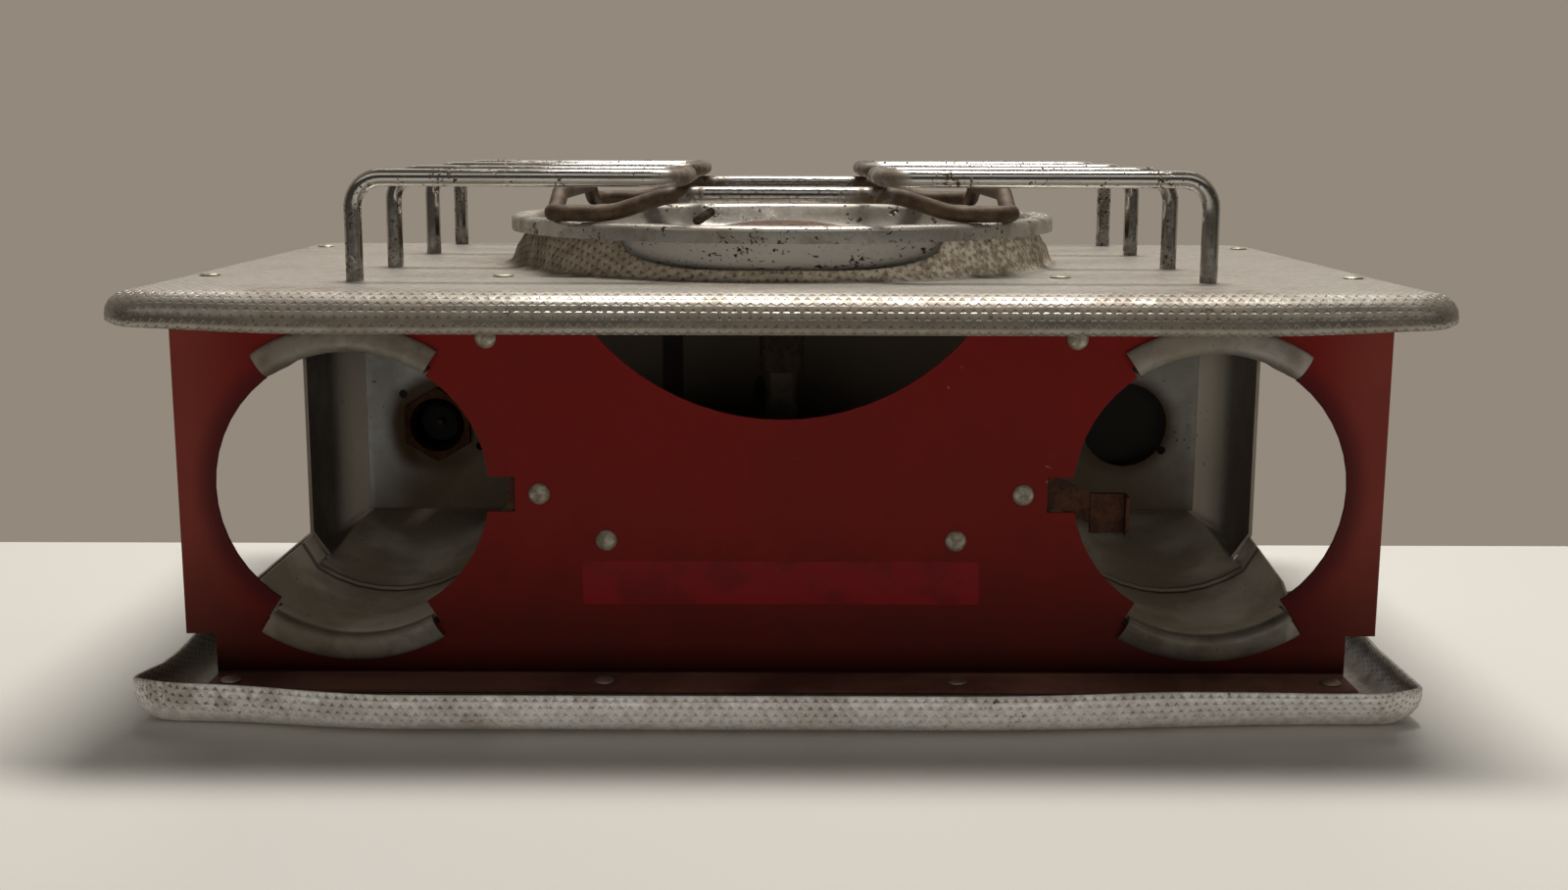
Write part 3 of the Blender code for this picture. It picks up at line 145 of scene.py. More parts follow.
laminate, shader, place = finish_named("pale_laminate", Roughness=0.55)
tone = mixed(cloud(place, 3.0), (0.71, 0.685, 0.635, 1), (0.77, 0.745, 0.695, 1))
feed(shader, Base_Color=tone)
table = bmesh.new()
TABLE_WIDE, TABLE_DEEP, TABLE_THICK, TABLE_EDGE = 3.2, 1.62, 0.02, 0.002
TABLE_MIDDLE = Matrix.Translation((0, -0.692, -0.0102))
table_place = TABLE_MIDDLE @ Matrix.Diagonal((TABLE_WIDE, TABLE_DEEP, TABLE_THICK, 1))
bmesh.ops.create_cube(table, size=1, matrix=table_place)
bmesh.ops.bevel(
    table, geom=table.edges[:], offset=TABLE_EDGE, segments=2, profile=0.5, affect="EDGES",
    material=-1,
)
table_mesh = bpy.data.meshes.new("table_top")
table.to_mesh(table_mesh)
table_mesh.materials.append(laminate)
table_top = bpy.data.objects.new("table_top", table_mesh)
scene.collection.objects.link(table_top)

# Backdrop and light: a plain warm grey wall, which shiny metal sees darker in front of the stove,
# faint soft light all round, two broad lamps overhead and behind the stove, and a low front fill.
world = bpy.data.worlds.new("studio")
scene.world = world
world.use_nodes = True
tree = world.node_tree
tree.nodes.clear()
rays = tree.nodes.new("ShaderNodeLightPath").outputs
seen = calc("MAXIMUM", rays["Is Camera Ray"], rays["Is Transmission Ray"])
way = split(node("TexCoord", tree=tree).node.outputs["Generated"])
room = mixed(fade(way["Y"], -0.25, 0.35), (0.055, 0.048, 0.040, 1), (0.30, 0.26, 0.21, 1))
window = times(fade(way["Z"], 0.45, 0.60), fade(way["Z"], 0.90, 0.80))
window = times(window, fade(way["Y"], -0.20, -0.40))
room = mixed(window, room, (0.60, 0.575, 0.53, 1))
soft_light = node("Background", (1.0, 0.96, 0.90, 1), 0.085, tree=tree)
mirrored_room = node("Background", room, 1.0)
wall = node("Background", (0.291, 0.250, 0.204, 1), 1.0, tree=tree)
backdrop = node("MixShader", rays["Is Glossy Ray"], soft_light, mirrored_room)
backdrop = node("MixShader", seen, backdrop, wall)
output = tree.nodes.new("ShaderNodeOutputWorld")
tree.links.new(backdrop, output.inputs["Surface"])

for name, size, power, spot, aim, mirrored in (
    ("overhead_lamp", (0.5, 0.20), 13.0, (0.06, 0.20, 1.16), (0, 0.02, 0), True),
    ("rear_lamp", (1.6, 0.5), 6.0, (0.05, 1.20, 1.25), (0, 0, 0.10), True),
    ("front_fill", (1.8, 0.3), 11.0, (0.10, -1.75, 0.15), (0, 0, 0.06), False),
):
    light = bpy.data.lights.new(name, "AREA")
    light.shape = "RECTANGLE"
    light.size, light.size_y = size
    light.energy = power
    light.color = (1.0, 0.975, 0.93)
    lamp = bpy.data.objects.new(name, light)
    lamp.visible_glossy = mirrored
    lamp.location = spot
    lamp.rotation_euler = (Vector(aim) - Vector(spot)).to_track_quat("-Z", "Y").to_euler()
    scene.collection.objects.link(lamp)

# Deck: one shallow pan drawn from embossed aluminium sheet 1 mm thick, its edge rolled down all
# round and a conical collar raised in it, with three scallops that let air in under the bowl.


def group_named(name, inputs, outputs):
    """An empty shader group with these inputs and outputs, for an effect that finishes share."""
    tree = bpy.data.node_groups.new(name, "ShaderNodeTree")
    kinds = {"Vector": "NodeSocketVector", "Float": "NodeSocketFloat"}
    for title, kind, value in inputs:
        socket = tree.interface.new_socket(name=title, in_out="INPUT", socket_type=kinds[kind])
        if kind == "Float":
            socket.default_value = value
    for title in outputs:
        tree.interface.new_socket(name=title, in_out="OUTPUT", socket_type="NodeSocketFloat")
    start = tree.nodes.new("NodeGroupInput").outputs
    end = tree.nodes.new("NodeGroupOutput").inputs
    return tree, start, end


def using(group, place, *sources):
    """The group's output, with the group put where place is and its inputs filled in order."""
    tree = place.id_data
    made = tree.nodes.new("ShaderNodeGroup")
    made.node_tree = group
    tree.links.new(place, made.inputs[0])
    for socket, source in zip(made.inputs[1:], sources):
        socket.default_value = source
    return made.outputs[0]


BURNER_Y = 0.0140

# Embossing: staggered rows of small pressed triangles, a fixed step apart along the row.
embossing, start, end = group_named("triangle_embossing", [("Sheet", "Vector", None)], ["Dimple"])
ALONG_ROW, ACROSS_ROWS = 0.0026, 0.00215
parts = split(start["Sheet"])
column = calc("DIVIDE", parts["X"], ALONG_ROW)
row = calc("DIVIDE", parts["Y"], ACROSS_ROWS)
stagger = times(calc("FLOORED_MODULO", calc("FLOOR", row), 2.0), 0.5)
across = calc("SUBTRACT", calc("FRACT", calc("ADD", column, stagger)), 0.5)
along = calc("SUBTRACT", calc("FRACT", row), 0.5)
slant = scaled(calc("ABSOLUTE", across), 1.7, along)
side = calc("SUBTRACT", slant, 0.30)
side = calc("MAXIMUM", side, scaled(along, -1.0, -0.26))
embossing.links.new(fade(side, 0.06, -0.14), end["Dimple"])

# Stain: soft clouds that cover a share of the surface.
stain, start, end = group_named(
    "stain_clouds",
    [("Place", "Vector", None), ("Scale", "Float", 30.0), ("Cover", "Float", 0.4),
     ("Softness", "Float", 0.06)],
    ["Mask"],
)
clouds = cloud(start["Place"], 30.0, 6.0, 0.62, 0.4)
stain.links.new(start["Scale"], clouds.node.inputs["Scale"])
level = scaled(start["Cover"], -0.42, 0.71)
low = calc("SUBTRACT", level, start["Softness"])
high = calc("ADD", level, start["Softness"])
stain.links.new(fade(clouds, low, high), end["Mask"])

# Specks: small ragged spots in loose clusters, such as rust pits or chipped paint.
speck, start, end = group_named(
    "ragged_specks",
    [("Place", "Vector", None), ("Scale", "Float", 400.0), ("Cover", "Float", 0.2)],
    ["Mask"],
)
grain = cloud(start["Place"], 400.0, 3.0, 0.6, 0.3)
speck.links.new(start["Scale"], grain.node.inputs["Scale"])
cluster = cloud(start["Place"], 50.0, 2.0, 0.5)
speck.links.new(times(start["Scale"], 0.11), cluster.node.inputs["Scale"])
level = scaled(cluster, 0.5, grain)
limit = scaled(start["Cover"], -0.32, 1.02)
speck.links.new(fade(calc("SUBTRACT", level, limit), -0.012, 0.018), end["Mask"])


def embossed_aluminium(name, extra_dirt, dirty, bare, shine, plain_below, edge_painted_shade, matt_above):
    """Dull embossed aluminium, browned by old grease, more so where extra_dirt puts it, with
    painted shade at its lower edge and in its pressed triangles and painted light on the right of
    its matt top.
    """
    material, shader, place = finish_named(name)
    sheet = node("UVMap", tree=shader.id_data, uv_map="sheet")
    height = split(place)["Z"]
    pressed = fade(height, plain_below, plain_below + 0.0025, 0.15, 1.0)
    dimple = times(using(embossing, sheet), pressed)
    broad = using(stain, place, 16.0, 0.40, 0.12)
    fine = using(stain, place, 130.0, 0.46, 0.07)
    mottle = cloud(place, 420.0, 5.0, 0.65)
    pits = using(speck, place, 520.0, 0.16)
    raised = fade(height, matt_above, matt_above + 0.0008)
    # Painted light: the sandy matt top is paler towards the right, where more light falls.
    lit_side = fade(split(place)["X"], -0.01, 0.06)
    worn = times(broad, scaled(fine, 0.55, 0.45))
    grease = calc("MAXIMUM", times(worn, 0.75), extra_dirt(place, fine))
    colour = mixed(cloud(place, 45.0, 4.0), bare, tuple(0.80 * c for c in bare[:3]) + (1,))
    colour = mixed(times(fade(mottle, 0.42, 0.62), 0.30), colour, dirty)
    sandy = mixed(lit_side, (0.60, 0.51, 0.39, 1), (0.90, 0.79, 0.63, 1))
    sandy = mixed(times(fade(mottle, 0.40, 0.60), 0.85), sandy, (0.33, 0.265, 0.19, 1))
    colour = mixed(raised, colour, sandy)
    # Painted shade: the colour is darkened towards the sheet's lower edge.
    edge = fade(height, *edge_painted_shade)
    colour = mixed(edge, colour, (0.72, 0.70, 0.67, 1), "MULTIPLY")
    # Painted shade: the pressed triangles are darkened, as shade in their hollows.
    colour = mixed(times(dimple, 0.45), colour, (0.20, 0.175, 0.15, 1))
    colour = mixed(times(grease, 0.80), colour, dirty)
    caked = times(grease, times(dimple, 0.80))
    colour = mixed(caked, colour, (0.060, 0.042, 0.028, 1))
    colour = mixed(times(pits, 0.8), colour, (0.055, 0.040, 0.028, 1))
    dull = scaled(grease, 0.22, scaled(mottle, 0.18, 0.20))
    metal = scaled(calc("MAXIMUM", grease, pits), -0.60 * shine, shine)
    metal = times(metal, scaled(raised, -0.70, 1.0))
    dull = scaled(raised, 0.20, dull)
    dull = scaled(fade(height, matt_above - 0.0009, matt_above - 0.0005), 0.14, dull)
    normal = bumped(cloud(place, 20.0, 2.0), 0.0012)
    normal = bumped(times(dimple, -1.0), 0.00016, normal)
    normal = bumped(mottle, 0.00010, normal)
    feed(shader, Base_Color=colour, Roughness=dull, Metallic=metal, Normal=normal)
    return material


def squares(first, second):
    """The sum of two squares: the squared distance from where both are 0."""
    return calc("ADD", calc("POWER", first, 2.0), calc("POWER", second, 2.0))


def distance(first, second):
    return calc("POWER", squares(first, second), 0.5)


def deck_dirt(place, fine):
    """Grease round the foot of the collar, in streaks on the deck, and at the right of its edge."""
    parts = split(place)
    reach = distance(parts["X"], calc("SUBTRACT", parts["Y"], BURNER_Y))
    ring = times(fade(reach, 0.108, 0.085), fade(parts["X"], 0.060, -0.03, 0.05, 1.0))
    stretched = node("VectorMath", place, (0.12, 1.0, 1.0), operation="MULTIPLY")
    streaks = fade(cloud(stretched, 130.0, 3.0), 0.50, 0.66)
    streaks = times(streaks, times(fade(reach, 0.150, 0.095), 0.45))
    patch = calc("SUBTRACT", parts["X"], 0.004)
    patch = times(fade(patch, -0.050, -0.020), fade(patch, 0.085, 0.035))
    patch = times(patch, fade(parts["Y"], -0.0965, -0.1020, 0.0, 0.75))
    ring = calc("MAXIMUM", times(ring, scaled(fine, 0.45, 0.55)), streaks)
    return calc("MAXIMUM", ring, times(patch, scaled(fine, 0.6, 0.3)))


deck_metal = embossed_aluminium(
    "deck_aluminium", deck_dirt, dirty=(0.165, 0.125, 0.085, 1), bare=(0.455, 0.430, 0.390, 1),
    shine=0.85, plain_below=0.1052, edge_painted_shade=(0.1156, 0.1125), matt_above=0.1163,
)

DECK_X, DECK_Y = 0.1735, 0.1060
DECK_TOP, DECK_LOW = 0.1160, 0.1048
CORNER, ROLL, SHEET = 0.0140, 0.0090, 0.0010
COLLAR_FOOT, COLLAR_TIP, COLLAR_TOP = 0.0840, 0.0795, 0.1299
COLLAR_SPREAD, FILLET_RISE = 0.0030, 0.0020
SCALLOP_REACH, SCALLOP_FLAT, SCALLOP_LOW, SCALLOP_RISE = 0.0460, 0.0190, 0.1192, 0.0074
SIDE_SCALLOP_STRETCH = 0.74


def pan(half_x, half_y, low, high, flat_up):
    """A box without its open side, its upright corners rounded and its edge rolled."""
    bm = bmesh.new()
    middle = Matrix.Translation((0, 0, (low + high) / 2))
    shape = middle @ Matrix.Diagonal((2 * half_x, 2 * half_y, high - low, 1))
    bmesh.ops.create_cube(bm, size=1, matrix=shape)
    uprights = [e for e in bm.edges if abs(e.verts[0].co.z - e.verts[1].co.z) > SHEET]
    rounded = {"profile": 0.5, "affect": "EDGES", "material": -1}
    bmesh.ops.bevel(bm, geom=uprights, offset=CORNER, segments=8, **rounded)
    bm.normal_update()
    way = 1 if flat_up else -1
    open_side = [f for f in bm.faces if f.normal.z * way < -0.9]
    bmesh.ops.delete(bm, geom=open_side, context="FACES_ONLY")
    rim = [e for f in bm.faces if f.normal.z * way > 0.9 for e in f.edges]
    bmesh.ops.bevel(bm, geom=rim, offset=ROLL, segments=6, **rounded)
    return bm


def all_of(bm):
    return bm.verts[:] + bm.edges[:] + bm.faces[:]


def sliced(bm, step, half_x, half_y):
    """Cuts across the whole mesh every step, so that it can be bent."""
    for axis, half in ((Vector((1, 0, 0)), half_x), (Vector((0, 1, 0)), half_y)):
        count = int(half / step)
        for k in range(-count, count + 1):
            bmesh.ops.bisect_plane(bm, geom=all_of(bm), plane_co=axis * k * step, plane_no=axis)


def flat_place(co, half_x, half_y, flat_z):
    """Where a point of the pan lay on the flat sheet before it was drawn."""
    middle = Vector((
        max(-half_x + CORNER, min(half_x - CORNER, co.x)),
        max(-half_y + CORNER, min(half_y - CORNER, co.y)),
    ))
    out = Vector((co.x, co.y)) - middle
    drop = abs(co.z - flat_z)
    bend = math.acos(max(-1.0, min(1.0, 1 - drop / ROLL))) if drop < ROLL else math.pi / 2
    run = ROLL * bend + max(0.0, drop - ROLL)
    if out.length < 1e-6:
        return Vector((co.x, co.y))
    return middle + out.normalized() * (min(out.length, CORNER - ROLL) + run)


def smooth(value, low, high):
    """0 below low and 1 above high, with a soft rise between."""
    share = max(0.0, min(1.0, (value - low) / (high - low)))
    return share * share * (3 - 2 * share)


def collar_place(co):
    """Where a point of the collar lay on the flat sheet before it was raised."""
    out = Vector((co.x, co.y - BURNER_Y))
    rise = co.z - DECK_TOP
    slope = 1.08
    return Vector((0, BURNER_Y)) + out.normalized() * (COLLAR_FOOT + COLLAR_SPREAD - rise * slope)


def settled(name, bm, material, body, slot, *nodes, angle=40, wall=0, bevel=0):
    """The finished piece: shaded smooth, riding on its body and standing for its nodes."""
    mesh = bpy.data.meshes.new(name)
    bm.to_mesh(mesh)
    bm.free()
    mesh.materials.append(material)
    mesh.polygons.foreach_set("use_smooth", [True] * len(mesh.polygons))
    mesh.set_sharp_from_angle(angle=math.radians(angle))
    piece = bpy.data.objects.new(name, mesh)
    scene.collection.objects.link(piece)
    if wall:
        solid = piece.modifiers.new("sheet", "SOLIDIFY")
        solid.thickness = wall
        solid.offset = -1
        solid.use_even_offset = True
    if bevel:
        edge = piece.modifiers.new("edge", "BEVEL")
        edge.width = bevel
        edge.segments = 2
        edge.limit_method = "ANGLE"
        edge.angle_limit = math.radians(angle)
        edge.harden_normals = True
    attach(piece, body)
    if nodes:
        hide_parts(*nodes)


def sealed(bm):
    """Joins the points that lie on each other and turns every face outward."""
    bmesh.ops.remove_doubles(bm, verts=bm.verts[:], dist=1e-6)
    bmesh.ops.recalc_face_normals(bm, faces=bm.faces[:])


deck = pan(DECK_X, DECK_Y, DECK_LOW, DECK_TOP, True)
flat_top = [f for f in deck.faces if f.normal.z > 0.999]
bmesh.ops.delete(deck, geom=flat_top, context="FACES_ONLY")
sliced(deck, 0.010, DECK_X - CORNER, DECK_Y - CORNER)
outer = [e for e in deck.edges if e.is_boundary and e.verts[0].co.z > DECK_TOP - SHEET / 2]
turn = Matrix.Translation((0, BURNER_Y, DECK_TOP)) @ Matrix.Rotation(math.pi / 2, 4, "Z")
ring = bmesh.ops.create_circle(
    deck, cap_ends=False, radius=COLLAR_FOOT + COLLAR_SPREAD, segments=len(outer), matrix=turn,
)
inner = list({e for v in ring["verts"] for e in v.link_edges})
spokes = bmesh.ops.bridge_loops(deck, edges=outer + inner)["edges"]
bmesh.ops.subdivide_edges(deck, edges=spokes, cuts=3, use_grid_fill=True)


def scallop_top(x, y):
    """Height of the collar's upper edge at a point of its ring."""
    turn_by = math.atan2(x, BURNER_Y - y)
    local = (turn_by + math.pi / 3) % (2 * math.pi / 3) - math.pi / 3
    if math.pi / 3 < abs(turn_by) < 2 * math.pi / 3:
        local *= SIDE_SCALLOP_STRETCH
    chord = abs(0.5 * (COLLAR_FOOT + COLLAR_TIP) * math.sin(local))
    along = max(0.0, min(1.0, (chord - SCALLOP_FLAT) / (SCALLOP_REACH - SCALLOP_FLAT)))
    height = SCALLOP_LOW + SCALLOP_RISE * (1 - math.sqrt(1 - along ** 2))
    end_slope = 0.0015
    past = max(0.0, min(1.0, (chord - SCALLOP_REACH) / end_slope))
    return height + past * (COLLAR_TOP - height)


edge = inner
for reach, rise, share in (
    (COLLAR_FOOT + 0.0016, 0.0003, None),
    (COLLAR_FOOT + 0.0006, 0.0009, None),
    (COLLAR_FOOT - 0.0001, FILLET_RISE, None),
    (None, None, 0.33),
    (None, None, 0.66),
    (None, None, 1.0),
):
    grown = bmesh.ops.extrude_edge_only(deck, edges=edge)["geom"]
    edge = [g for g in grown if isinstance(g, bmesh.types.BMEdge)]
    for vert in [g for g in grown if isinstance(g, bmesh.types.BMVert)]:
        out = Vector((vert.co.x, vert.co.y - BURNER_Y, 0)).normalized()
        height, away = DECK_TOP + (rise or 0), reach
        if share is not None:
            start = DECK_TOP + FILLET_RISE
            height = start + share * (scallop_top(vert.co.x, vert.co.y) - start)
            lean = (height - start) / (COLLAR_TOP - start)
            away = COLLAR_FOOT - 0.0001 - lean * (COLLAR_FOOT - COLLAR_TIP)
        vert.co = Vector((0, BURNER_Y, height)) + out * away
sealed(deck)
sheet_layer = deck.loops.layers.uv.new("sheet")
for face in deck.faces:
    for loop in face.loops:
        co = loop.vert.co
        if co.z > DECK_TOP + 1e-5:
            loop[sheet_layer].uv = collar_place(co)
        else:
            loop[sheet_layer].uv = flat_place(co, DECK_X, DECK_Y, DECK_TOP)

# The skirt is a little shallower than drawn, most of all at its ends, and its front corners lift.
SKIRT_SHORT, SKIRT_SHORT_END, CORNER_LIFT = 0.0011, 0.0017, 0.0010
for vert in deck.verts:
    x, y, z = vert.co
    if z <= DECK_TOP + 1e-5:
        short = SKIRT_SHORT + SKIRT_SHORT_END * smooth(abs(x), 0.120, 0.172)
        vert.co.z += short * (DECK_TOP - z) / (DECK_TOP - DECK_LOW)
        vert.co.z += CORNER_LIFT * smooth(abs(x), 0.165, 0.173) * smooth(-y, 0.060, 0.100)
settled("stove_deck", deck, deck_metal, "frame", "embossed_aluminium", "deck_top", wall=SHEET)

# Base tray: the same aluminium sheet drawn like the deck, but open upwards, and riveted to the
# panels' feet. Knocks have pushed in both front corners, and its right rim leans inward.
TRAY_X, TRAY_TOP = 0.1720, 0.0118


def tray_dirt(place, fine):
    """Dirt round the left front corner and along the rim, and the inner faces darker, most towards
    the left.
    """
    parts = split(place)
    corner = times(fade(parts["X"], -0.065, -0.150), fade(parts["Z"], 0.002, 0.008))
    rim = times(fade(parts["Z"], 0.0075, 0.0112), 0.55)
    facing = split(place.node.outputs["Normal"])
    outward = times(facing["X"], calc("DIVIDE", parts["X"], TRAY_X))
    outward = scaled(facing["Y"], calc("DIVIDE", parts["Y"], DECK_Y), outward)
    inner = fade(outward, 0.30, 0.10)
    inner = times(inner, fade(parts["X"], 0.06, -0.14, 0.0, 1.0))
    inner = times(inner, fade(parts["Z"], 0.0003, 0.0010))
    caked = calc("MAXIMUM", times(corner, 0.85), rim)
    return calc("MAXIMUM", times(caked, scaled(fine, 0.85, 0.15)), inner)


# Painted light: the tray's bare colour is far paler than the deck's, standing in for light in the
# shade under the deck.
tray_metal_painted_pale = embossed_aluminium(
    "tray_aluminium_painted_light", tray_dirt, dirty=(0.19, 0.150, 0.110, 1), bare=(0.88, 0.85, 0.80, 1),
    shine=0.35, plain_below=0.0030, edge_painted_shade=(0.0050, 0.0010), matt_above=1.0,
)
tray = pan(TRAY_X, DECK_Y, 0.0, TRAY_TOP, False)
sliced(tray, 0.008, TRAY_X - CORNER / 2, DECK_Y - CORNER / 2)
sealed(tray)
sheet_layer = tray.loops.layers.uv.new("sheet")
for face in tray.faces:
    for loop in face.loops:
        loop[sheet_layer].uv = flat_place(loop.vert.co, TRAY_X, DECK_Y, 0.0) * Vector((1, -1))

# Both front corners are pushed in, the rim sags beside them, and its right side leans inward.
PUSH_LEFT, PUSH_RIGHT, PUSH_ASIDE = 0.0095, 0.0085, 0.0014
SAG_RIGHT, SAG_LEFT = 0.0018, 0.0020
FOLD_LINE, RIM_LEAN = 0.004, math.radians(78)
for vert in tray.verts:
    x, y, z = vert.co
    push = PUSH_LEFT * smooth(-x, 0.100, 0.160) + PUSH_RIGHT * smooth(x, 0.050, 0.150)
    vert.co.y += smooth(-y, 0.088, 0.106) * push
    vert.co.x -= PUSH_ASIDE * smooth(-x, 0.150, 0.170) * smooth(-y, 0.060, 0.090)
    sag = SAG_RIGHT * smooth(x, 0.090, 0.150) * smooth(-y, 0.030, 0.060)
    left_end = smooth(-x, 0.160, 0.168) * smooth(-y, 0.030, 0.060) * smooth(y, -0.090, -0.070)
    sag = max(sag, SAG_LEFT * left_end)
    above = max(0, z - FOLD_LINE)
    vert.co.z -= sag * above / (TRAY_TOP - FOLD_LINE)
    if x > 0.160:
        lean = RIM_LEAN * smooth(y, -0.002, 0.024) * smooth(-y, -0.090, -0.062)
        vert.co.z -= above * (1 - math.cos(lean))
        vert.co.x -= above * math.sin(lean)
settled("base_pan", tray, tray_metal_painted_pale, "frame", "embossed_aluminium", "base_tray", wall=SHEET)

# Red panels: two folded steel sheets, sprayed red, that stand on the tray and carry the deck.
# The paint has browned towards the bottom and faded at the sides, and painted shade darkens it
# round the bays.
red_paint, shader, place = finish_named("red_enamel", Specular_IOR_Level=0.10)
parts = split(place)
wide = calc("ABSOLUTE", parts["X"])
mottle = cloud(place, 60.0, 5.0, 0.6)
broad = using(stain, place, 14.0, 0.5, 0.12)
colour = mixed(mottle, (0.100, 0.0056, 0.0043, 1), (0.134, 0.0080, 0.0064, 1))
faded = times(fade(wide, 0.146, 0.168), 0.75)
colour = mixed(faded, colour, (0.156, 0.033, 0.023, 1))
low_dirt = fade(scaled(mottle, 0.022, parts["Z"]), 0.062, 0.018)
colour = mixed(times(low_dirt, 0.70), colour, (0.036, 0.0095, 0.0070, 1))
grime = times(fade(parts["Z"], 0.026, 0.006), using(stain, place, 26.0, 0.45, 0.10))
colour = mixed(times(grime, 0.40), colour, (0.020, 0.012, 0.009, 1))
# Dust along the foot, its colour painted far paler than dust as painted light where the foot lies
# in shade, more towards the right.
dust_and_painted_light = times(fade(parts["Z"], 0.0034, 0.0026), scaled(broad, -0.40, 0.86))
dust_and_painted_light = times(dust_and_painted_light, fade(parts["X"], -0.14, 0.10, 0.62, 1.0))
colour = mixed(dust_and_painted_light, colour, (0.60, 0.32, 0.24, 1))
# Painted shade: dark arcs on the panel round the outer edges of the bays.
aside = calc("SUBTRACT", wide, 0.121)
above = calc("SUBTRACT", parts["Z"], 0.0568)
reach = distance(aside, above)
arc_painted_shade = times(fade(reach, 0.0465, 0.0390), fade(aside, 0.008, 0.026))
colour = mixed(times(arc_painted_shade, 0.75), colour, (0.026, 0.004, 0.006, 1))
colour = mixed(times(broad, 0.22), colour, (0.050, 0.009, 0.007, 1))
chips = using(speck, place, 420.0, -0.12)
colour = mixed(chips, colour, (0.16, 0.10, 0.07, 1))
# The inner faces are dark grey-brown primer with a near-black band and oval, and the patch behind
# the right bay's fitting hole is painted shade.
inner = calc("LESS_THAN", calc("ABSOLUTE", calc("SUBTRACT", parts["Y"], 0.0125)), 0.0695)
band = fade(calc("ABSOLUTE", calc("ADD", parts["X"], 0.039)), 0.0040, 0.0033)
tall = times(calc("SUBTRACT", parts["Z"], 0.065), 0.45)
spot = distance(calc("ADD", parts["X"], 0.008), tall)
soot = calc("MAXIMUM", band, fade(spot, 0.0026, 0.0016))
spare = squares(calc("SUBTRACT", parts["X"], 0.1204), above)
soot = calc("MAXIMUM", soot, fade(spare, 0.0016, 0.0008))
primer = mixed(mottle, (0.064, 0.049, 0.037, 1), (0.044, 0.034, 0.026, 1))
primer = mixed(times(soot, 0.85), primer, (0.010, 0.009, 0.008, 1))
colour = mixed(inner, colour, primer)
dull = scaled(low_dirt, 0.18, scaled(mottle, 0.18, 0.34))
normal = bumped(cloud(place, 420.0, 2.0), 0.00005)
feed(shader, Base_Color=colour, Roughness=dull, Normal=normal)


def merged(solid):
    """The mesh of this solid with its loose triangles joined into whole faces."""
    bm = bmesh.new()
    bm.from_mesh(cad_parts[solid].data)
    bmesh.ops.remove_doubles(bm, verts=bm.verts[:], dist=1e-6)
    flat = math.radians(0.5)
    bmesh.ops.dissolve_limit(bm, angle_limit=flat, verts=bm.verts[:], edges=bm.edges[:])
    return bm


def followed(name, solid, material, body, slot, bevel=0):
    """A piece that keeps the shape of its solid, with its edges eased."""
    settled(name, merged(solid), material, body, slot, solid, bevel=bevel)


followed("front_sheet", "front_panel", red_paint, "frame", "red_paint", bevel=0.0002)
followed("rear_sheet", "rear_panel", red_paint, "frame", "red_paint", bevel=0.0002)

# Blank strip: a thin plain band of fresher red, stuck low on the front panel between the bays
# and worn dark in places.
band_red, shader, place = finish_named("band_red", Roughness=0.4, Specular_IOR_Level=0.15)
worn = using(stain, place, 90.0, 0.42, 0.08)
colour = mixed(cloud(place, 40.0), (0.155, 0.0055, 0.0085, 1), (0.125, 0.0045, 0.0065, 1))
colour = mixed(times(worn, 0.5), colour, (0.060, 0.005, 0.005, 1))
feed(shader, Base_Color=colour, Normal=bumped(cloud(place, 300.0), 0.00004))
band = bmesh.new()
BAND_WIDE, BAND_THICK, BAND_TALL, BAND_CORNER = 0.1128, 0.00014, 0.0126, 0.0012
band_middle = Matrix.Translation((0, -0.05756, 0.0296))
band_place = band_middle @ Matrix.Diagonal((BAND_WIDE, BAND_THICK, BAND_TALL, 1))
bmesh.ops.create_cube(band, size=1, matrix=band_place)
short = [e for e in band.edges if abs(e.verts[0].co.y - e.verts[1].co.y) > 0.0001]
bmesh.ops.bevel(
    band, geom=short, offset=BAND_CORNER, segments=4, profile=0.5, affect="EDGES", material=-1,
)
settled("blank_strip", band, band_red, "frame", "red_paint")

# Cradles, saddles and bay brackets: 1 mm galvanised steel, rolled and pressed. A cradle's front
# lip is turned over the panel, and the brackets close the bays at their rear and outer sides.
zinc, shader, place = finish_named("old_galvanising")
parts = split(place)
wide = calc("ABSOLUTE", parts["X"])
crystals = node("TexVoronoi", place, None, 330.0).node.outputs["Color"]
flake = node("SeparateColor", crystals)
cloudy = cloud(place, 28.0, 4.0)
brown = using(stain, place, 34.0, 0.50, 0.14)
spots = using(speck, place, 600.0, 0.10)
patchy = fade(cloudy, 0.40, 0.60)
colour = mixed(flake, (0.27, 0.257, 0.235, 1), (0.36, 0.345, 0.32, 1))
colour = mixed(patchy, colour, (0.22, 0.20, 0.17, 1))
# Painted shade, with some grime: the lips in the left bay and the lower lips are darkened.
lip_shade_and_grime = calc("MAXIMUM", fade(parts["X"], 0.0, -0.01), fade(parts["Z"], 0.050, 0.045))
lip_shade_and_grime = times(lip_shade_and_grime, fade(parts["Y"], -0.0560, -0.0580))
grimy = using(stain, place, 120.0, 0.42, 0.10)
lip_shade_and_grime = scaled(grimy, 0.35, times(lip_shade_and_grime, 0.65))
colour = mixed(lip_shade_and_grime, colour, (0.50, 0.46, 0.40, 1), "MULTIPLY")
colour = mixed(times(brown, 0.6), colour, (0.150, 0.110, 0.070, 1))
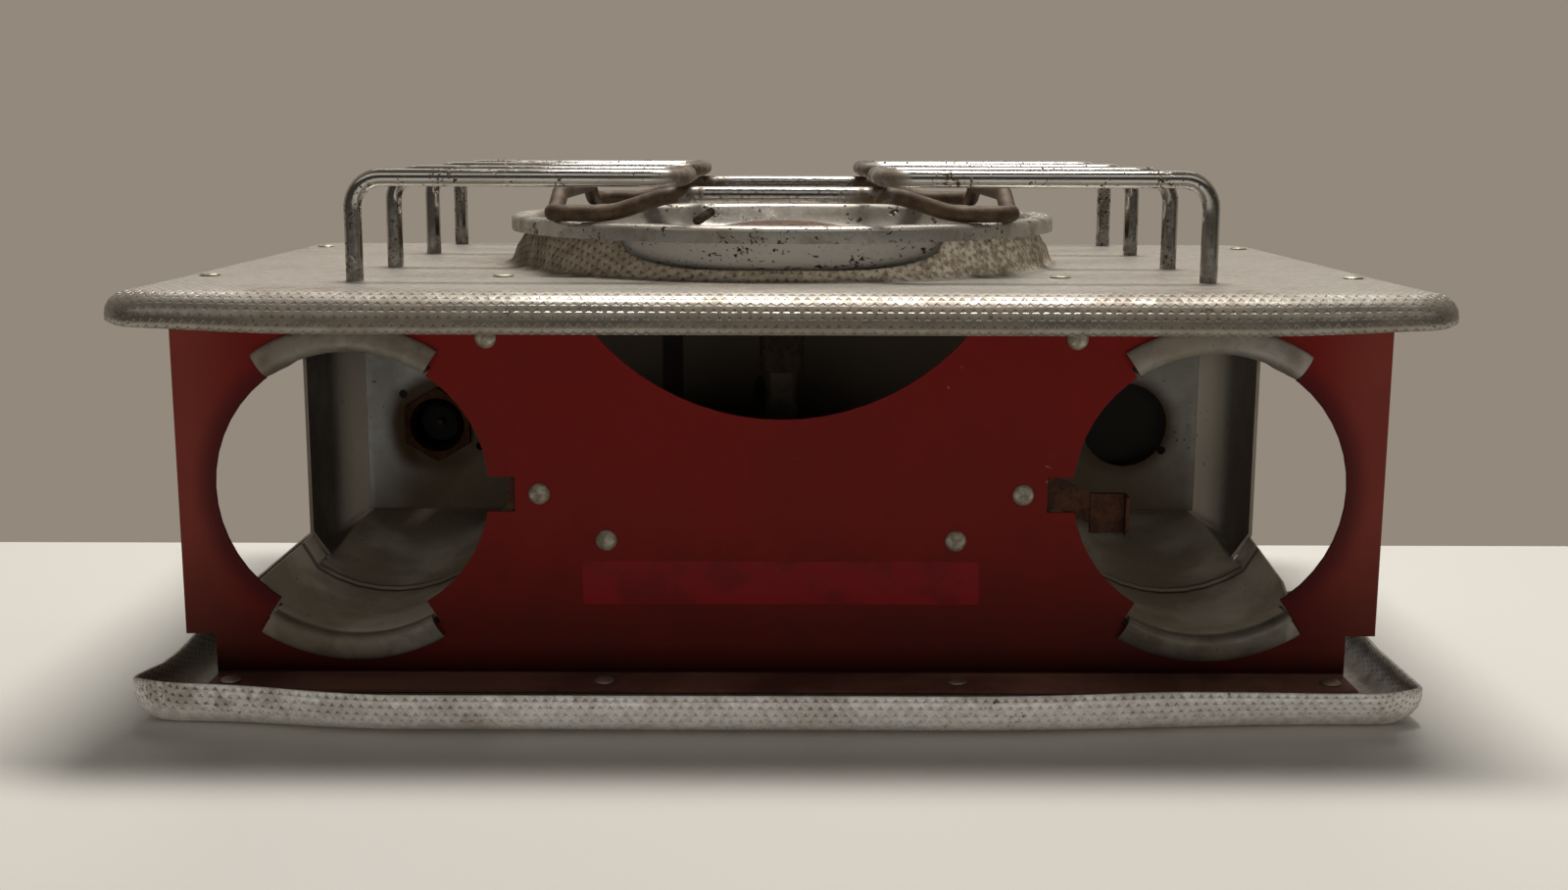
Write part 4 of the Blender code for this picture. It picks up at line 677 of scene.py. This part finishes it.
# Painted light: the seat inside each cradle is far paler than the steel, in rusty beige, and
# painted shade with rust darkens it inward and towards the rear of the bay.
inside = fade(parts["Z"], 0.090, 0.080)
inside = times(inside, fade(parts["Y"], -0.0565, -0.0545))
seat_rust_and_painted_light = mixed(patchy, (0.86, 0.78, 0.64, 1), (0.50, 0.42, 0.31, 1))
deep_shade_and_rust = calc("MAXIMUM", fade(wide, 0.101, 0.083), fade(parts["Y"], 0.015, 0.062, 0.0, 0.6))
seat_rust_and_painted_light = mixed(times(deep_shade_and_rust, 0.88), seat_rust_and_painted_light, (0.085, 0.060, 0.040, 1))
colour = mixed(times(inside, 0.75), colour, seat_rust_and_painted_light)
ring = calc("ABSOLUTE", calc("ADD", parts["Y"], scaled(cloudy, 0.003, 0.0070)))
ring = times(fade(ring, 0.0022, 0.0006), fade(parts["Z"], 0.050, 0.040))
colour = mixed(times(ring, 0.75), colour, (0.075, 0.052, 0.035, 1))
# Painted light and shade: the bays' outer walls are pale where they face the light, dark on their
# front strip, and darker in the left bay than the right.
at_wall = fade(wide, 0.1430, 0.1450)
rear_wall = fade(scaled(cloudy, 0.006, parts["Y"]), 0.034, 0.060)
right = calc("GREATER_THAN", parts["X"], 0.0)
shade = mixed(right, (0.74, 0.65, 0.53, 1), (0.98, 0.88, 0.73, 1))
painted_dark_shade = mixed(right, (0.095, 0.070, 0.055, 1), (0.190, 0.155, 0.120, 1))
shade = mixed(rear_wall, painted_dark_shade, shade)
colour = mixed(times(at_wall, fade(parts["Y"], 0.002, 0.006)), colour, shade)
at_plate = fade(parts["Y"], 0.0650, 0.0658)
# Rust with painted shade: the plate turns dark brown towards its lower, inner part.
lower = scaled(calc("SUBTRACT", wide, 0.12), 0.9, scaled(cloudy, 0.03, parts["Z"]))
lower = calc("MAXIMUM", fade(lower, 0.090, 0.050), fade(wide, 0.094, 0.080))
blue = mixed(right, (0.44, 0.445, 0.425, 1), (0.34, 0.33, 0.30, 1))
blue = mixed(lower, blue, (0.100, 0.075, 0.052, 1))
blue = mixed(times(brown, 0.5), blue, (0.10, 0.072, 0.048, 1))
fitting = distance(calc("SUBTRACT", wide, 0.1204), calc("SUBTRACT", parts["Z"], 0.055))
fitting = scaled(cloudy, 0.008, fitting)
blue = mixed(fade(fitting, 0.0250, 0.0185), blue, (0.060, 0.038, 0.022, 1))
colour = mixed(at_plate, colour, blue)
colour = mixed(spots, colour, (0.050, 0.034, 0.022, 1))
dull = scaled(brown, 0.24, scaled(flake, 0.10, 0.38))
metal = scaled(calc("MAXIMUM", brown, spots), -0.35, 0.60)
metal = times(metal, scaled(at_wall, -0.9, 1.0))
metal = times(metal, scaled(inside, -0.45, 1.0))
normal = bumped(calc("ADD", cloudy, times(flake, 0.1)), 0.0004)
feed(shader, Base_Color=colour, Roughness=dull, Metallic=metal, Normal=normal)

BAY_X, BAY_Z, PANEL_FACE = 0.1210, 0.0568, -0.0577
BEAD, STEEL = 0.0030, 0.0011
LIP_GAP, LIP_FALL, LIP_LIMIT = 0.0003, 0.0024, 0.052
SLEEVE_END, LIP_CUT = PANEL_FACE + 0.0082, PANEL_FACE + 0.0077


def rolled_bead(side, radius, lip_radius, first, last):
    """The front of a sleeve, turned out over the panel in a round bead from angle first to last."""
    middle, crest = radius + BEAD, PANEL_FACE - BEAD - LIP_GAP
    around = [math.radians(15 * k) for k in range(7)]
    face = []
    for inset in (0.0, STEEL):
        roll = BEAD - inset
        reach, fall = lip_radius - middle - inset * 0.3, LIP_FALL - inset * 0.1
        line = [(radius + inset, SLEEVE_END)]
        for a in around:
            line.append((middle - roll * math.cos(a), crest + BEAD - roll * math.sin(a)))
        for a in around[1:]:
            line.append((middle + reach * math.sin(a), crest + inset + fall * (1 - math.cos(a))))
        face += line if not inset else reversed(line)
    bead = bmesh.new()
    centre = Vector((side * BAY_X, 0, BAY_Z))
    start = Vector((side * math.sin(first), 0, -math.cos(first)))
    rim = [bead.verts.new(centre + start * reach + Vector((0, y, 0))) for reach, y in face]
    bmesh.ops.spin(
        bead, geom=[bead.faces.new(rim)], cent=centre, axis=(0, -side, 0), angle=last - first,
        steps=28,
    )
    bmesh.ops.recalc_face_normals(bead, faces=bead.faces[:])
    return bead


LIPS = {
    "cradle": (0.04264, 0.0498, math.radians(-30.3), math.radians(33.0)),
    "upper_saddle": (0.0387, 0.0465, math.radians(145.0), math.radians(213.0)),
}


def moved_into(whole, part):
    """Adds the part to the whole and frees it."""
    mesh = bpy.data.meshes.new("part")
    part.to_mesh(mesh)
    part.free()
    whole.from_mesh(mesh)
    bpy.data.meshes.remove(mesh)


def without_lip(piece, way, first, last):
    """The piece with the flat lip on its front cut off, from angle first to last."""
    cut = Vector((0, LIP_CUT, 0))
    bmesh.ops.bisect_plane(piece, geom=all_of(piece), plane_co=cut, plane_no=(0, 1, 0))
    old_lip = []
    for face in piece.faces:
        middle = face.calc_center_median() - Vector((way * BAY_X, 0, BAY_Z))
        angle = math.atan2(way * middle.x, -middle.z) % (2 * math.pi)
        angle -= 2 * math.pi if angle > last + 1 else 0
        near = middle.y < LIP_CUT and math.hypot(middle.x, middle.z) < LIP_LIMIT
        if near and first - 0.03 < angle < last + 0.03:
            old_lip.append(face)
    bmesh.ops.delete(piece, geom=old_lip, context="FACES")
    flat = math.radians(1)
    bmesh.ops.dissolve_limit(piece, angle_limit=flat, verts=piece.verts[:], edges=piece.edges[:])


for side in ("left", "right"):
    for name in ("cradle", "upper_saddle", "bay_bracket"):
        piece = merged(f"{side}_{name}")
        if name in LIPS:
            way = -1 if side == "left" else 1
            without_lip(piece, way, *LIPS[name][2:])
            moved_into(piece, rolled_bead(way, *LIPS[name]))
        settled(f"{side}_{name}_sheet", piece, zinc, "frame", "galvanised_steel", f"{side}_{name}")
followed("burner_bridge", "burner_strap", zinc, "frame", "galvanised_steel", bevel=0.0002)

# Retaining clips: spring steel leaves riveted behind the panel, long since rusted brown. The
# left one has lost its hook.
rust, shader, place = finish_named("rusted_spring_steel", Metallic=0.2)
patches = using(stain, place, 120.0, 0.5, 0.10)
grain = cloud(place, 700.0, 4.0, 0.65)
colour = mixed(patches, (0.024, 0.0082, 0.0038, 1), (0.052, 0.0185, 0.0075, 1))
colour = mixed(fade(grain, 0.55, 0.70), colour, (0.014, 0.007, 0.005, 1))
dull = fade(grain, 0.3, 0.7, 0.65, 0.9)
feed(shader, Base_Color=colour, Roughness=dull, Normal=bumped(grain, 0.00012))
for side in ("left", "right"):
    clip = f"{side}_retaining_clip"
    body = f"{side}_clip"
    followed(f"{body}_leaf", clip, rust, body, "rusty_spring_steel", bevel=0.00015)
followed("valve_nut", "socket_nut", rust, "frame", "rusty_spring_steel", bevel=0.0003)

# Burner bowl: a dish spun from thin plain aluminium, hung by its turned-down rim on the collar,
# pitted through in places, with an oblong drain in its rear wall.
spun, shader, place = finish_named("spun_aluminium", Roughness=0.3, Metallic=1.0)
soot = using(stain, place, 36.0, 0.42, 0.12)
fine = using(stain, place, 160.0, 0.40, 0.06)
holes = using(speck, place, 240.0, 0.34)
small = using(speck, place, 700.0, 0.36)
colour = mixed(cloud(place, 55.0, 4.0), (0.58, 0.555, 0.51, 1), (0.42, 0.395, 0.355, 1))
colour = mixed(times(soot, 0.45), colour, (0.24, 0.17, 0.11, 1))
colour = mixed(times(fine, 0.30), colour, (0.16, 0.11, 0.07, 1))
dark = calc("MAXIMUM", holes, small)
colour = mixed(dark, colour, (0.030, 0.020, 0.014, 1))
facing = split(place.node.outputs["Normal"])
beneath = fade(facing["Z"], -0.03, -0.15)
colour = mixed(times(beneath, calc("SUBTRACT", 1.0, dark)), colour, (0.44, 0.405, 0.355, 1))
metal = times(scaled(dark, -0.6, 0.75), scaled(beneath, -0.85, 1.0))
dull = scaled(soot, 0.22, scaled(fine, 0.10, 0.26))
normal = bumped(times(dark, -1.0), 0.0003)
normal = bumped(cloud(place, 30.0, 2.0), 0.0006, normal)
feed(shader, Base_Color=colour, Roughness=dull, Metallic=metal, Normal=normal)

BOWL_OUTLINE = (
    (0.0245, 0.11420), (0.0300, 0.11435), (0.0450, 0.11520), (0.0564, 0.11675), (0.0640, 0.11820),
    (0.0690, 0.11990), (0.0725, 0.12200), (0.0749, 0.12450), (0.0763, 0.12720), (0.0771, 0.12930),
    (0.0778, 0.13040), (0.0788, 0.13095), (0.0800, 0.13108), (0.0822, 0.13100), (0.0834, 0.13078),
    (0.0841, 0.13010), (0.0842, 0.12930), (0.0842, 0.12640),
)


def lathed(outline, y, steps):
    """A surface turned from this outline of reaches and heights about the upright line at y."""
    bm = bmesh.new()
    corners = [bm.verts.new((reach, y, height)) for reach, height in outline]
    lines = [bm.edges.new(pair) for pair in zip(corners, corners[1:])]
    bmesh.ops.spin(
        bm, geom=corners + lines, cent=(0, y, 0), axis=(0, 0, 1), angle=2 * math.pi, steps=steps,
        use_merge=True,
    )
    sealed(bm)
    return bm


bowl = lathed(BOWL_OUTLINE, BURNER_Y, 96)
if min(bowl.faces, key=lambda f: f.calc_center_median().z).normal.z < 0:
    bmesh.ops.reverse_faces(bowl, faces=bowl.faces[:])


def worked_out(piece):
    """The piece's mesh with its modifiers or its bends worked out."""
    bpy.context.view_layer.update()
    shown = piece.evaluated_get(bpy.context.evaluated_depsgraph_get())
    mesh = bpy.data.meshes.new_from_object(shown)
    bm = bmesh.new()
    bm.from_mesh(mesh)
    bpy.data.meshes.remove(mesh)
    return bm


def pierced(bm, wall, cutter):
    """The sheet bm, thickened to wall, with the cutter's shape taken out of it."""
    parts_made = []
    for name, part in (("sheet_blank", bm), ("punch", cutter)):
        mesh = bpy.data.meshes.new(name)
        part.to_mesh(mesh)
        part.free()
        parts_made.append(bpy.data.objects.new(name, mesh))
        scene.collection.objects.link(parts_made[-1])
    blank, punch = parts_made
    thick = blank.modifiers.new("sheet", "SOLIDIFY")
    thick.thickness = wall
    thick.use_even_offset = True
    hole = blank.modifiers.new("hole", "BOOLEAN")
    hole.object, hole.solver = punch, "EXACT"
    result = worked_out(blank)
    for piece in parts_made:
        bpy.data.meshes.remove(piece.data)
    return result


BOWL_WALL = 0.0007
DRAIN_RADIUS, DRAIN_STRETCH, DRAIN_SLANT, DRAIN_DEPTH = 0.0015, 0.0034, math.radians(28), 0.008
drain_spot = Vector((-0.0280, 0.0850, 0.1264))
drain = bmesh.new()
drain_start = Matrix.Translation((0, 0, -DRAIN_DEPTH / 2))
half_step = Matrix.Rotation(math.radians(7.5), 4, "Z")
bmesh.ops.create_circle(
    drain, cap_ends=True, radius=DRAIN_RADIUS, segments=24, matrix=drain_start @ half_step,
)
for vert in drain.verts:
    vert.co.x += math.copysign(DRAIN_STRETCH, vert.co.x)
grown = bmesh.ops.extrude_face_region(drain, geom=drain.faces[:])["geom"]
far_end = [g for g in grown if isinstance(g, bmesh.types.BMVert)]
bmesh.ops.translate(drain, verts=far_end, vec=(0, 0, DRAIN_DEPTH))
bmesh.ops.recalc_face_normals(drain, faces=drain.faces[:])
outward = (drain_spot - Vector((0, BURNER_Y, drain_spot.z))).normalized()
level = Vector((outward.y, -outward.x, 0))
along = level * math.cos(DRAIN_SLANT) + Vector((0, 0, 1)) * math.sin(DRAIN_SLANT)
turned = Matrix((along, outward.cross(along), outward)).transposed().to_4x4()
bmesh.ops.transform(drain, matrix=Matrix.Translation(drain_spot) @ turned, verts=drain.verts[:])
settled("spun_bowl", pierced(bowl, BOWL_WALL, drain), spun, "bowl", "spun_aluminium", "burner_bowl")

# Burner: a cast iron head, held by its neck in the strap, under a pressed cap that the flame
# has burnt brown. Both keep the shapes of their solids.
iron, shader, place = finish_named("burnt_iron", Roughness=0.7, Metallic=0.5)
patches = using(stain, place, 110.0, 0.5, 0.12)
grain = cloud(place, 500.0, 4.0, 0.65)
colour = mixed(patches, (0.060, 0.030, 0.016, 1), (0.120, 0.062, 0.032, 1))
colour = mixed(fade(grain, 0.52, 0.68), colour, (0.022, 0.014, 0.010, 1))
# Painted shade: the casting is darkened nearly to black below the bowl's floor, inside the stove.
painted_dark_shade = fade(split(place)["Z"], 0.1180, 0.1120)
colour = mixed(times(painted_dark_shade, 0.85), colour, (0.020, 0.014, 0.010, 1))
dull = fade(grain, 0.3, 0.7, 0.5, 0.85)
feed(shader, Base_Color=colour, Roughness=dull, Normal=bumped(grain, 0.0002))
followed("burner_casting", "burner_head", iron, "frame", "burner_iron", bevel=0.0003)
followed("burner_lid", "burner_cap", iron, "frame", "burner_iron", bevel=0.0003)

# Valve and fuel line: turned brass with a steel needle and a rubber seal in the socket, and a
# bent steel tube from the jet to the burner's neck.
brass, shader, place = finish_named("tarnished_brass", Roughness=0.35, Metallic=1.0)
tarnish = using(stain, place, 150.0, 0.5, 0.12)
colour = mixed(tarnish, (0.48, 0.33, 0.13, 1), (0.20, 0.12, 0.05, 1))
mouth = fade(split(place)["Y"], 0.0820, 0.0770)
colour = mixed(mouth, colour, (0.022, 0.014, 0.009, 1))
feed(shader, Base_Color=colour, Roughness=scaled(calc("MAXIMUM", tarnish, mouth), 0.4, 0.28))
for solid in ("valve_body", "gas_jet", "packing_nut", "valve_stem"):
    body = "knob" if solid == "valve_stem" else "frame"
    followed(f"brass_{solid}", solid, brass, body, "brass", bevel=0.0002)
steel, shader, place = finish_named("sooty_steel", Metallic=0.2, Specular_IOR_Level=0.25)
worn = using(stain, place, 90.0, 0.45, 0.12)
colour = mixed(worn, (0.045, 0.036, 0.028, 1), (0.028, 0.020, 0.014, 1))
feed(shader, Base_Color=colour, Roughness=scaled(worn, 0.2, 0.55))
for solid, body in (("mixing_tube", "frame"), ("needle", "frame"), ("knob_screw", "knob")):
    followed(f"steel_{solid}", solid, steel, body, "plain_steel")
rubber, shader, place = finish_named("black_rubber", Roughness=0.8, Specular_IOR_Level=0.15)
colour = mixed(cloud(place, 300.0), (0.005, 0.005, 0.005, 1), (0.012, 0.011, 0.010, 1))
feed(shader, Base_Color=colour, Normal=bumped(cloud(place, 900.0), 0.00005))
followed("seal_ring", "socket_seal", rubber, "frame", "seal_rubber")

# Knob: moulded black plastic with finger flutes round its rim. It is pushed on the valve's stem
# behind the rear panel and held there by one screw.
plastic, shader, place = finish_named("black_plastic", Roughness=0.4)
scuffs = using(stain, place, 140.0, 0.42, 0.08)
colour = mixed(scuffs, (0.016, 0.016, 0.017, 1), (0.055, 0.050, 0.045, 1))
dull = scaled(scuffs, 0.3, 0.34)
feed(shader, Base_Color=colour, Roughness=dull, Normal=bumped(cloud(place, 700.0), 0.00004))
followed("valve_knob", "control_knob", plastic, "knob", "knob_plastic", bevel=0.0006)

# Rivets: aluminium rivets with low domed heads. Each joins a panel to a bay piece, the deck or
# the tray.
rivet_metal, shader, place = finish_named("rivet_aluminium", Roughness=0.45, Metallic=0.6)
dirt = using(stain, place, 420.0, 0.5, 0.14)
colour = mixed(dirt, (0.40, 0.375, 0.30, 1), (0.20, 0.17, 0.120, 1))
low = fade(split(place)["Z"], 0.0200, 0.0100)
colour = mixed(low, colour, (0.42, 0.34, 0.27, 1))
feed(shader, Base_Color=colour, Roughness=scaled(dirt, 0.25, 0.38))
HEAD, HEAD_RISE, SHANK, TAIL, TAIL_RISE = 0.0030, 0.0013, 0.0016, 0.0026, 0.0010
TAIL_EDGE = 0.0003
DOME = ((0, 0), (0.0012, 0.0001), (0.0022, 0.0004), (0.0028, 0.0009), (HEAD, HEAD_RISE))
FLATTENED = {"deck": 0.45, "tray": 0.8}
rivets = bmesh.new()
rivet_nodes = sorted(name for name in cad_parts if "_rivet_" in name)
for name in rivet_nodes:
    low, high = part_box(name)
    middle = (low + high) / 2
    forward = name.startswith(("clip", "lower", "top"))
    length = (high - low).y if forward else (high - low).z
    share = FLATTENED.get(name[:4], 1.0)
    outline = [(reach, HEAD_RISE + (depth - HEAD_RISE) * share) for reach, depth in DOME]
    outline.append((SHANK, HEAD_RISE))
    if name.startswith("tray"):
        outline += [(SHANK, length), (0, length)]
    else:
        tail, tail_end = length - TAIL_RISE, length - TAIL_EDGE
        outline += [(SHANK, tail), (TAIL, tail), (TAIL, tail_end), (0, length)]
    head_spot = (middle.x, low.y, middle.z) if forward else (middle.x, middle.y, high.z)
    turn = Matrix.Rotation(-math.pi / 2 if forward else math.pi, 4, "X")
    spot = Matrix.Translation(head_spot) @ turn
    rivet = lathed(outline, 0, 24)
    bmesh.ops.transform(rivet, matrix=spot, verts=rivet.verts[:])
    moved_into(rivets, rivet)
settled("domed_rivets", rivets, rivet_metal, "frame", "rivet_aluminium", *rivet_nodes, angle=50)

# Grate hairpins: four lengths of chromed wire bent double, each with two legs that drop through
# the deck. The chrome is pitted with rust, most of all where the flame reaches it.
chrome, shader, place = finish_named("pitted_chrome", Roughness=0.12, Metallic=1.0)
parts = split(place)
wide = calc("ABSOLUTE", parts["X"])
near_flame = fade(wide, 0.037, 0.029)
low_leg = fade(parts["Z"], 0.124, 0.117)
fog = using(stain, place, 60.0, 0.38, 0.10)
pits = using(speck, place, 900.0, 0.42)
crust = times(using(stain, place, 240.0, 0.55, 0.08), low_leg)
burnt = times(near_flame, scaled(using(stain, place, 120.0, 0.6, 0.12), 0.5, 0.5))
colour = mixed(times(fog, 0.35), (0.54, 0.525, 0.50, 1), (0.30, 0.27, 0.235, 1))
colour = mixed(times(crust, 0.8), colour, (0.15, 0.105, 0.070, 1))
colour = mixed(burnt, colour, (0.150, 0.112, 0.080, 1))
colour = mixed(pits, colour, (0.070, 0.038, 0.020, 1))
stained = calc("MAXIMUM", calc("MAXIMUM", burnt, pits), crust)
# Painted shade: the wires' upward faces are darkened, which dims the lamps' reflection along their
# tops.
top_painted_shade = split(place.node.outputs["Normal"])["Z"]
colour = mixed(fade(top_painted_shade, 0.50, 0.95), colour, (0.66, 0.65, 0.63, 1), "MULTIPLY")
dull = scaled(stained, 0.50, scaled(fog, 0.12, 0.09))
metal = scaled(stained, -0.5, 1.0)
feed(shader, Base_Color=colour, Roughness=dull, Metallic=metal, Normal=bumped(stained, 0.00008))

WIRE, WIRE_BEND = 0.0024, 0.008


def bent_wire(name, points, bend, closed, material, body, slot, *nodes):
    """Round wire along these points, bent to one radius at each, and closed at its cut ends."""
    route = bpy.data.curves.new(name, "CURVE")
    route.dimensions = "3D"
    route.bevel_depth = WIRE
    route.bevel_resolution = 5
    route.resolution_u = 8
    route.use_fill_caps = True
    spline = route.splines.new("BEZIER")
    stops = []
    for index, point in enumerate(points):
        here = Vector(point[:3])
        own_bend = point[3] if len(point) > 3 else bend
        if not closed and index in (0, len(points) - 1):
            stops.append((here, here, here))
            continue
        before = Vector(points[index - 1][:3]) - here
        after = Vector(points[(index + 1) % len(points)][:3]) - here
        turn = math.pi - before.angle(after)
        cut = min(own_bend * math.tan(turn / 2), before.length * 0.48, after.length * 0.48)
        hold = 4 / 3 * math.tan(turn / 4) * cut / max(math.tan(turn / 2), 1e-6)
        first, last = here + before.normalized() * cut, here + after.normalized() * cut
        stops.append((first, first, first - before.normalized() * hold))
        stops.append((last, last - after.normalized() * hold, last))
    spline.bezier_points.add(len(stops) - 1)
    for stop, (here, left, right) in zip(spline.bezier_points, stops):
        stop.handle_left_type = stop.handle_right_type = "FREE"
        stop.co, stop.handle_left, stop.handle_right = here, left, right
    spline.use_cyclic_u = closed
    wire = bpy.data.objects.new(name + "_route", route)
    scene.collection.objects.link(wire)
    bm = worked_out(wire)
    bpy.data.objects.remove(wire)
    sealed(bm)
    settled(name, bm, material, body, slot, *nodes, angle=50)


FOOT_X, FOOT_Z, WIRE_Z, END_X = 0.1157, 0.1120, 0.1437, 0.0274
for side, word in ((-1, "left"), (1, "right")):
    for rank, near_y, far_y in (("front", -0.0663, -0.0153), ("rear", 0.0433, 0.0943)):
        points = [
            (side * FOOT_X, near_y, FOOT_Z),
            (side * FOOT_X, near_y, WIRE_Z),
            (side * END_X, near_y, WIRE_Z),
            (side * END_X, far_y, WIRE_Z),
            (side * FOOT_X, far_y, WIRE_Z),
            (side * FOOT_X, far_y, FOOT_Z),
        ]
        bent_wire(
            f"wire_{rank}_{word}", points, WIRE_BEND, False, chrome, "grate", "chrome_wire",
            f"grate_hairpin_{rank}_{word}",
        )

# Grate loop: the same wire bent into a rounded oblong and welded under the hairpins. Its corners
# dip to the bowl's rim and are burnt brown, and chrome is left only at the middle of each run.
burnt_wire, shader, place = finish_named("burnt_wire", Roughness=0.5, Metallic=0.8)
parts = split(place)
wide = calc("ABSOLUTE", parts["X"])
crust = using(stain, place, 170.0, 0.5, 0.12)
grain = cloud(place, 800.0, 4.0, 0.6)
bare = fade(scaled(crust, 0.010, wide), 0.034, 0.022)
colour = mixed(crust, (0.045, 0.025, 0.013, 1), (0.095, 0.060, 0.033, 1))
colour = mixed(bare, colour, (0.38, 0.36, 0.34, 1))
colour = mixed(times(fade(grain, 0.56, 0.66), 0.6), colour, (0.030, 0.018, 0.012, 1))
dull = scaled(bare, -0.42, 0.60)
metal = scaled(bare, 0.65, 0.35)
feed(shader, Base_Color=colour, Roughness=dull, Metallic=metal, Normal=bumped(grain, 0.00008))
LOOP_HIGH, LOOP_LOW, DIP_BEND = 0.1386, 0.1335, 0.026
LOOP_X, LOOP_FRONT, LOOP_REAR, LOOP_BEND = 0.0648, -0.0480, 0.0760, 0.007
half_loop = [
    (0.0320, LOOP_FRONT, LOOP_HIGH, DIP_BEND),
    (0.0475, LOOP_FRONT, LOOP_LOW, DIP_BEND),
    (LOOP_X, LOOP_FRONT, LOOP_LOW),
    (LOOP_X, -0.0370, LOOP_LOW),
    (LOOP_X, -0.0240, LOOP_HIGH),
    (LOOP_X, 0.0520, LOOP_HIGH),
    (LOOP_X, 0.0650, LOOP_LOW),
    (LOOP_X, LOOP_REAR, LOOP_LOW),
    (0.0475, LOOP_REAR, LOOP_LOW, DIP_BEND),
    (0.0320, LOOP_REAR, LOOP_HIGH, DIP_BEND),
]
whole_loop = half_loop + [(-point[0], *point[1:]) for point in reversed(half_loop)]
bent_wire(
    "wire_loop", whole_loop, LOOP_BEND, True, burnt_wire, "grate", "burnt_wire", "grate_loop",
)
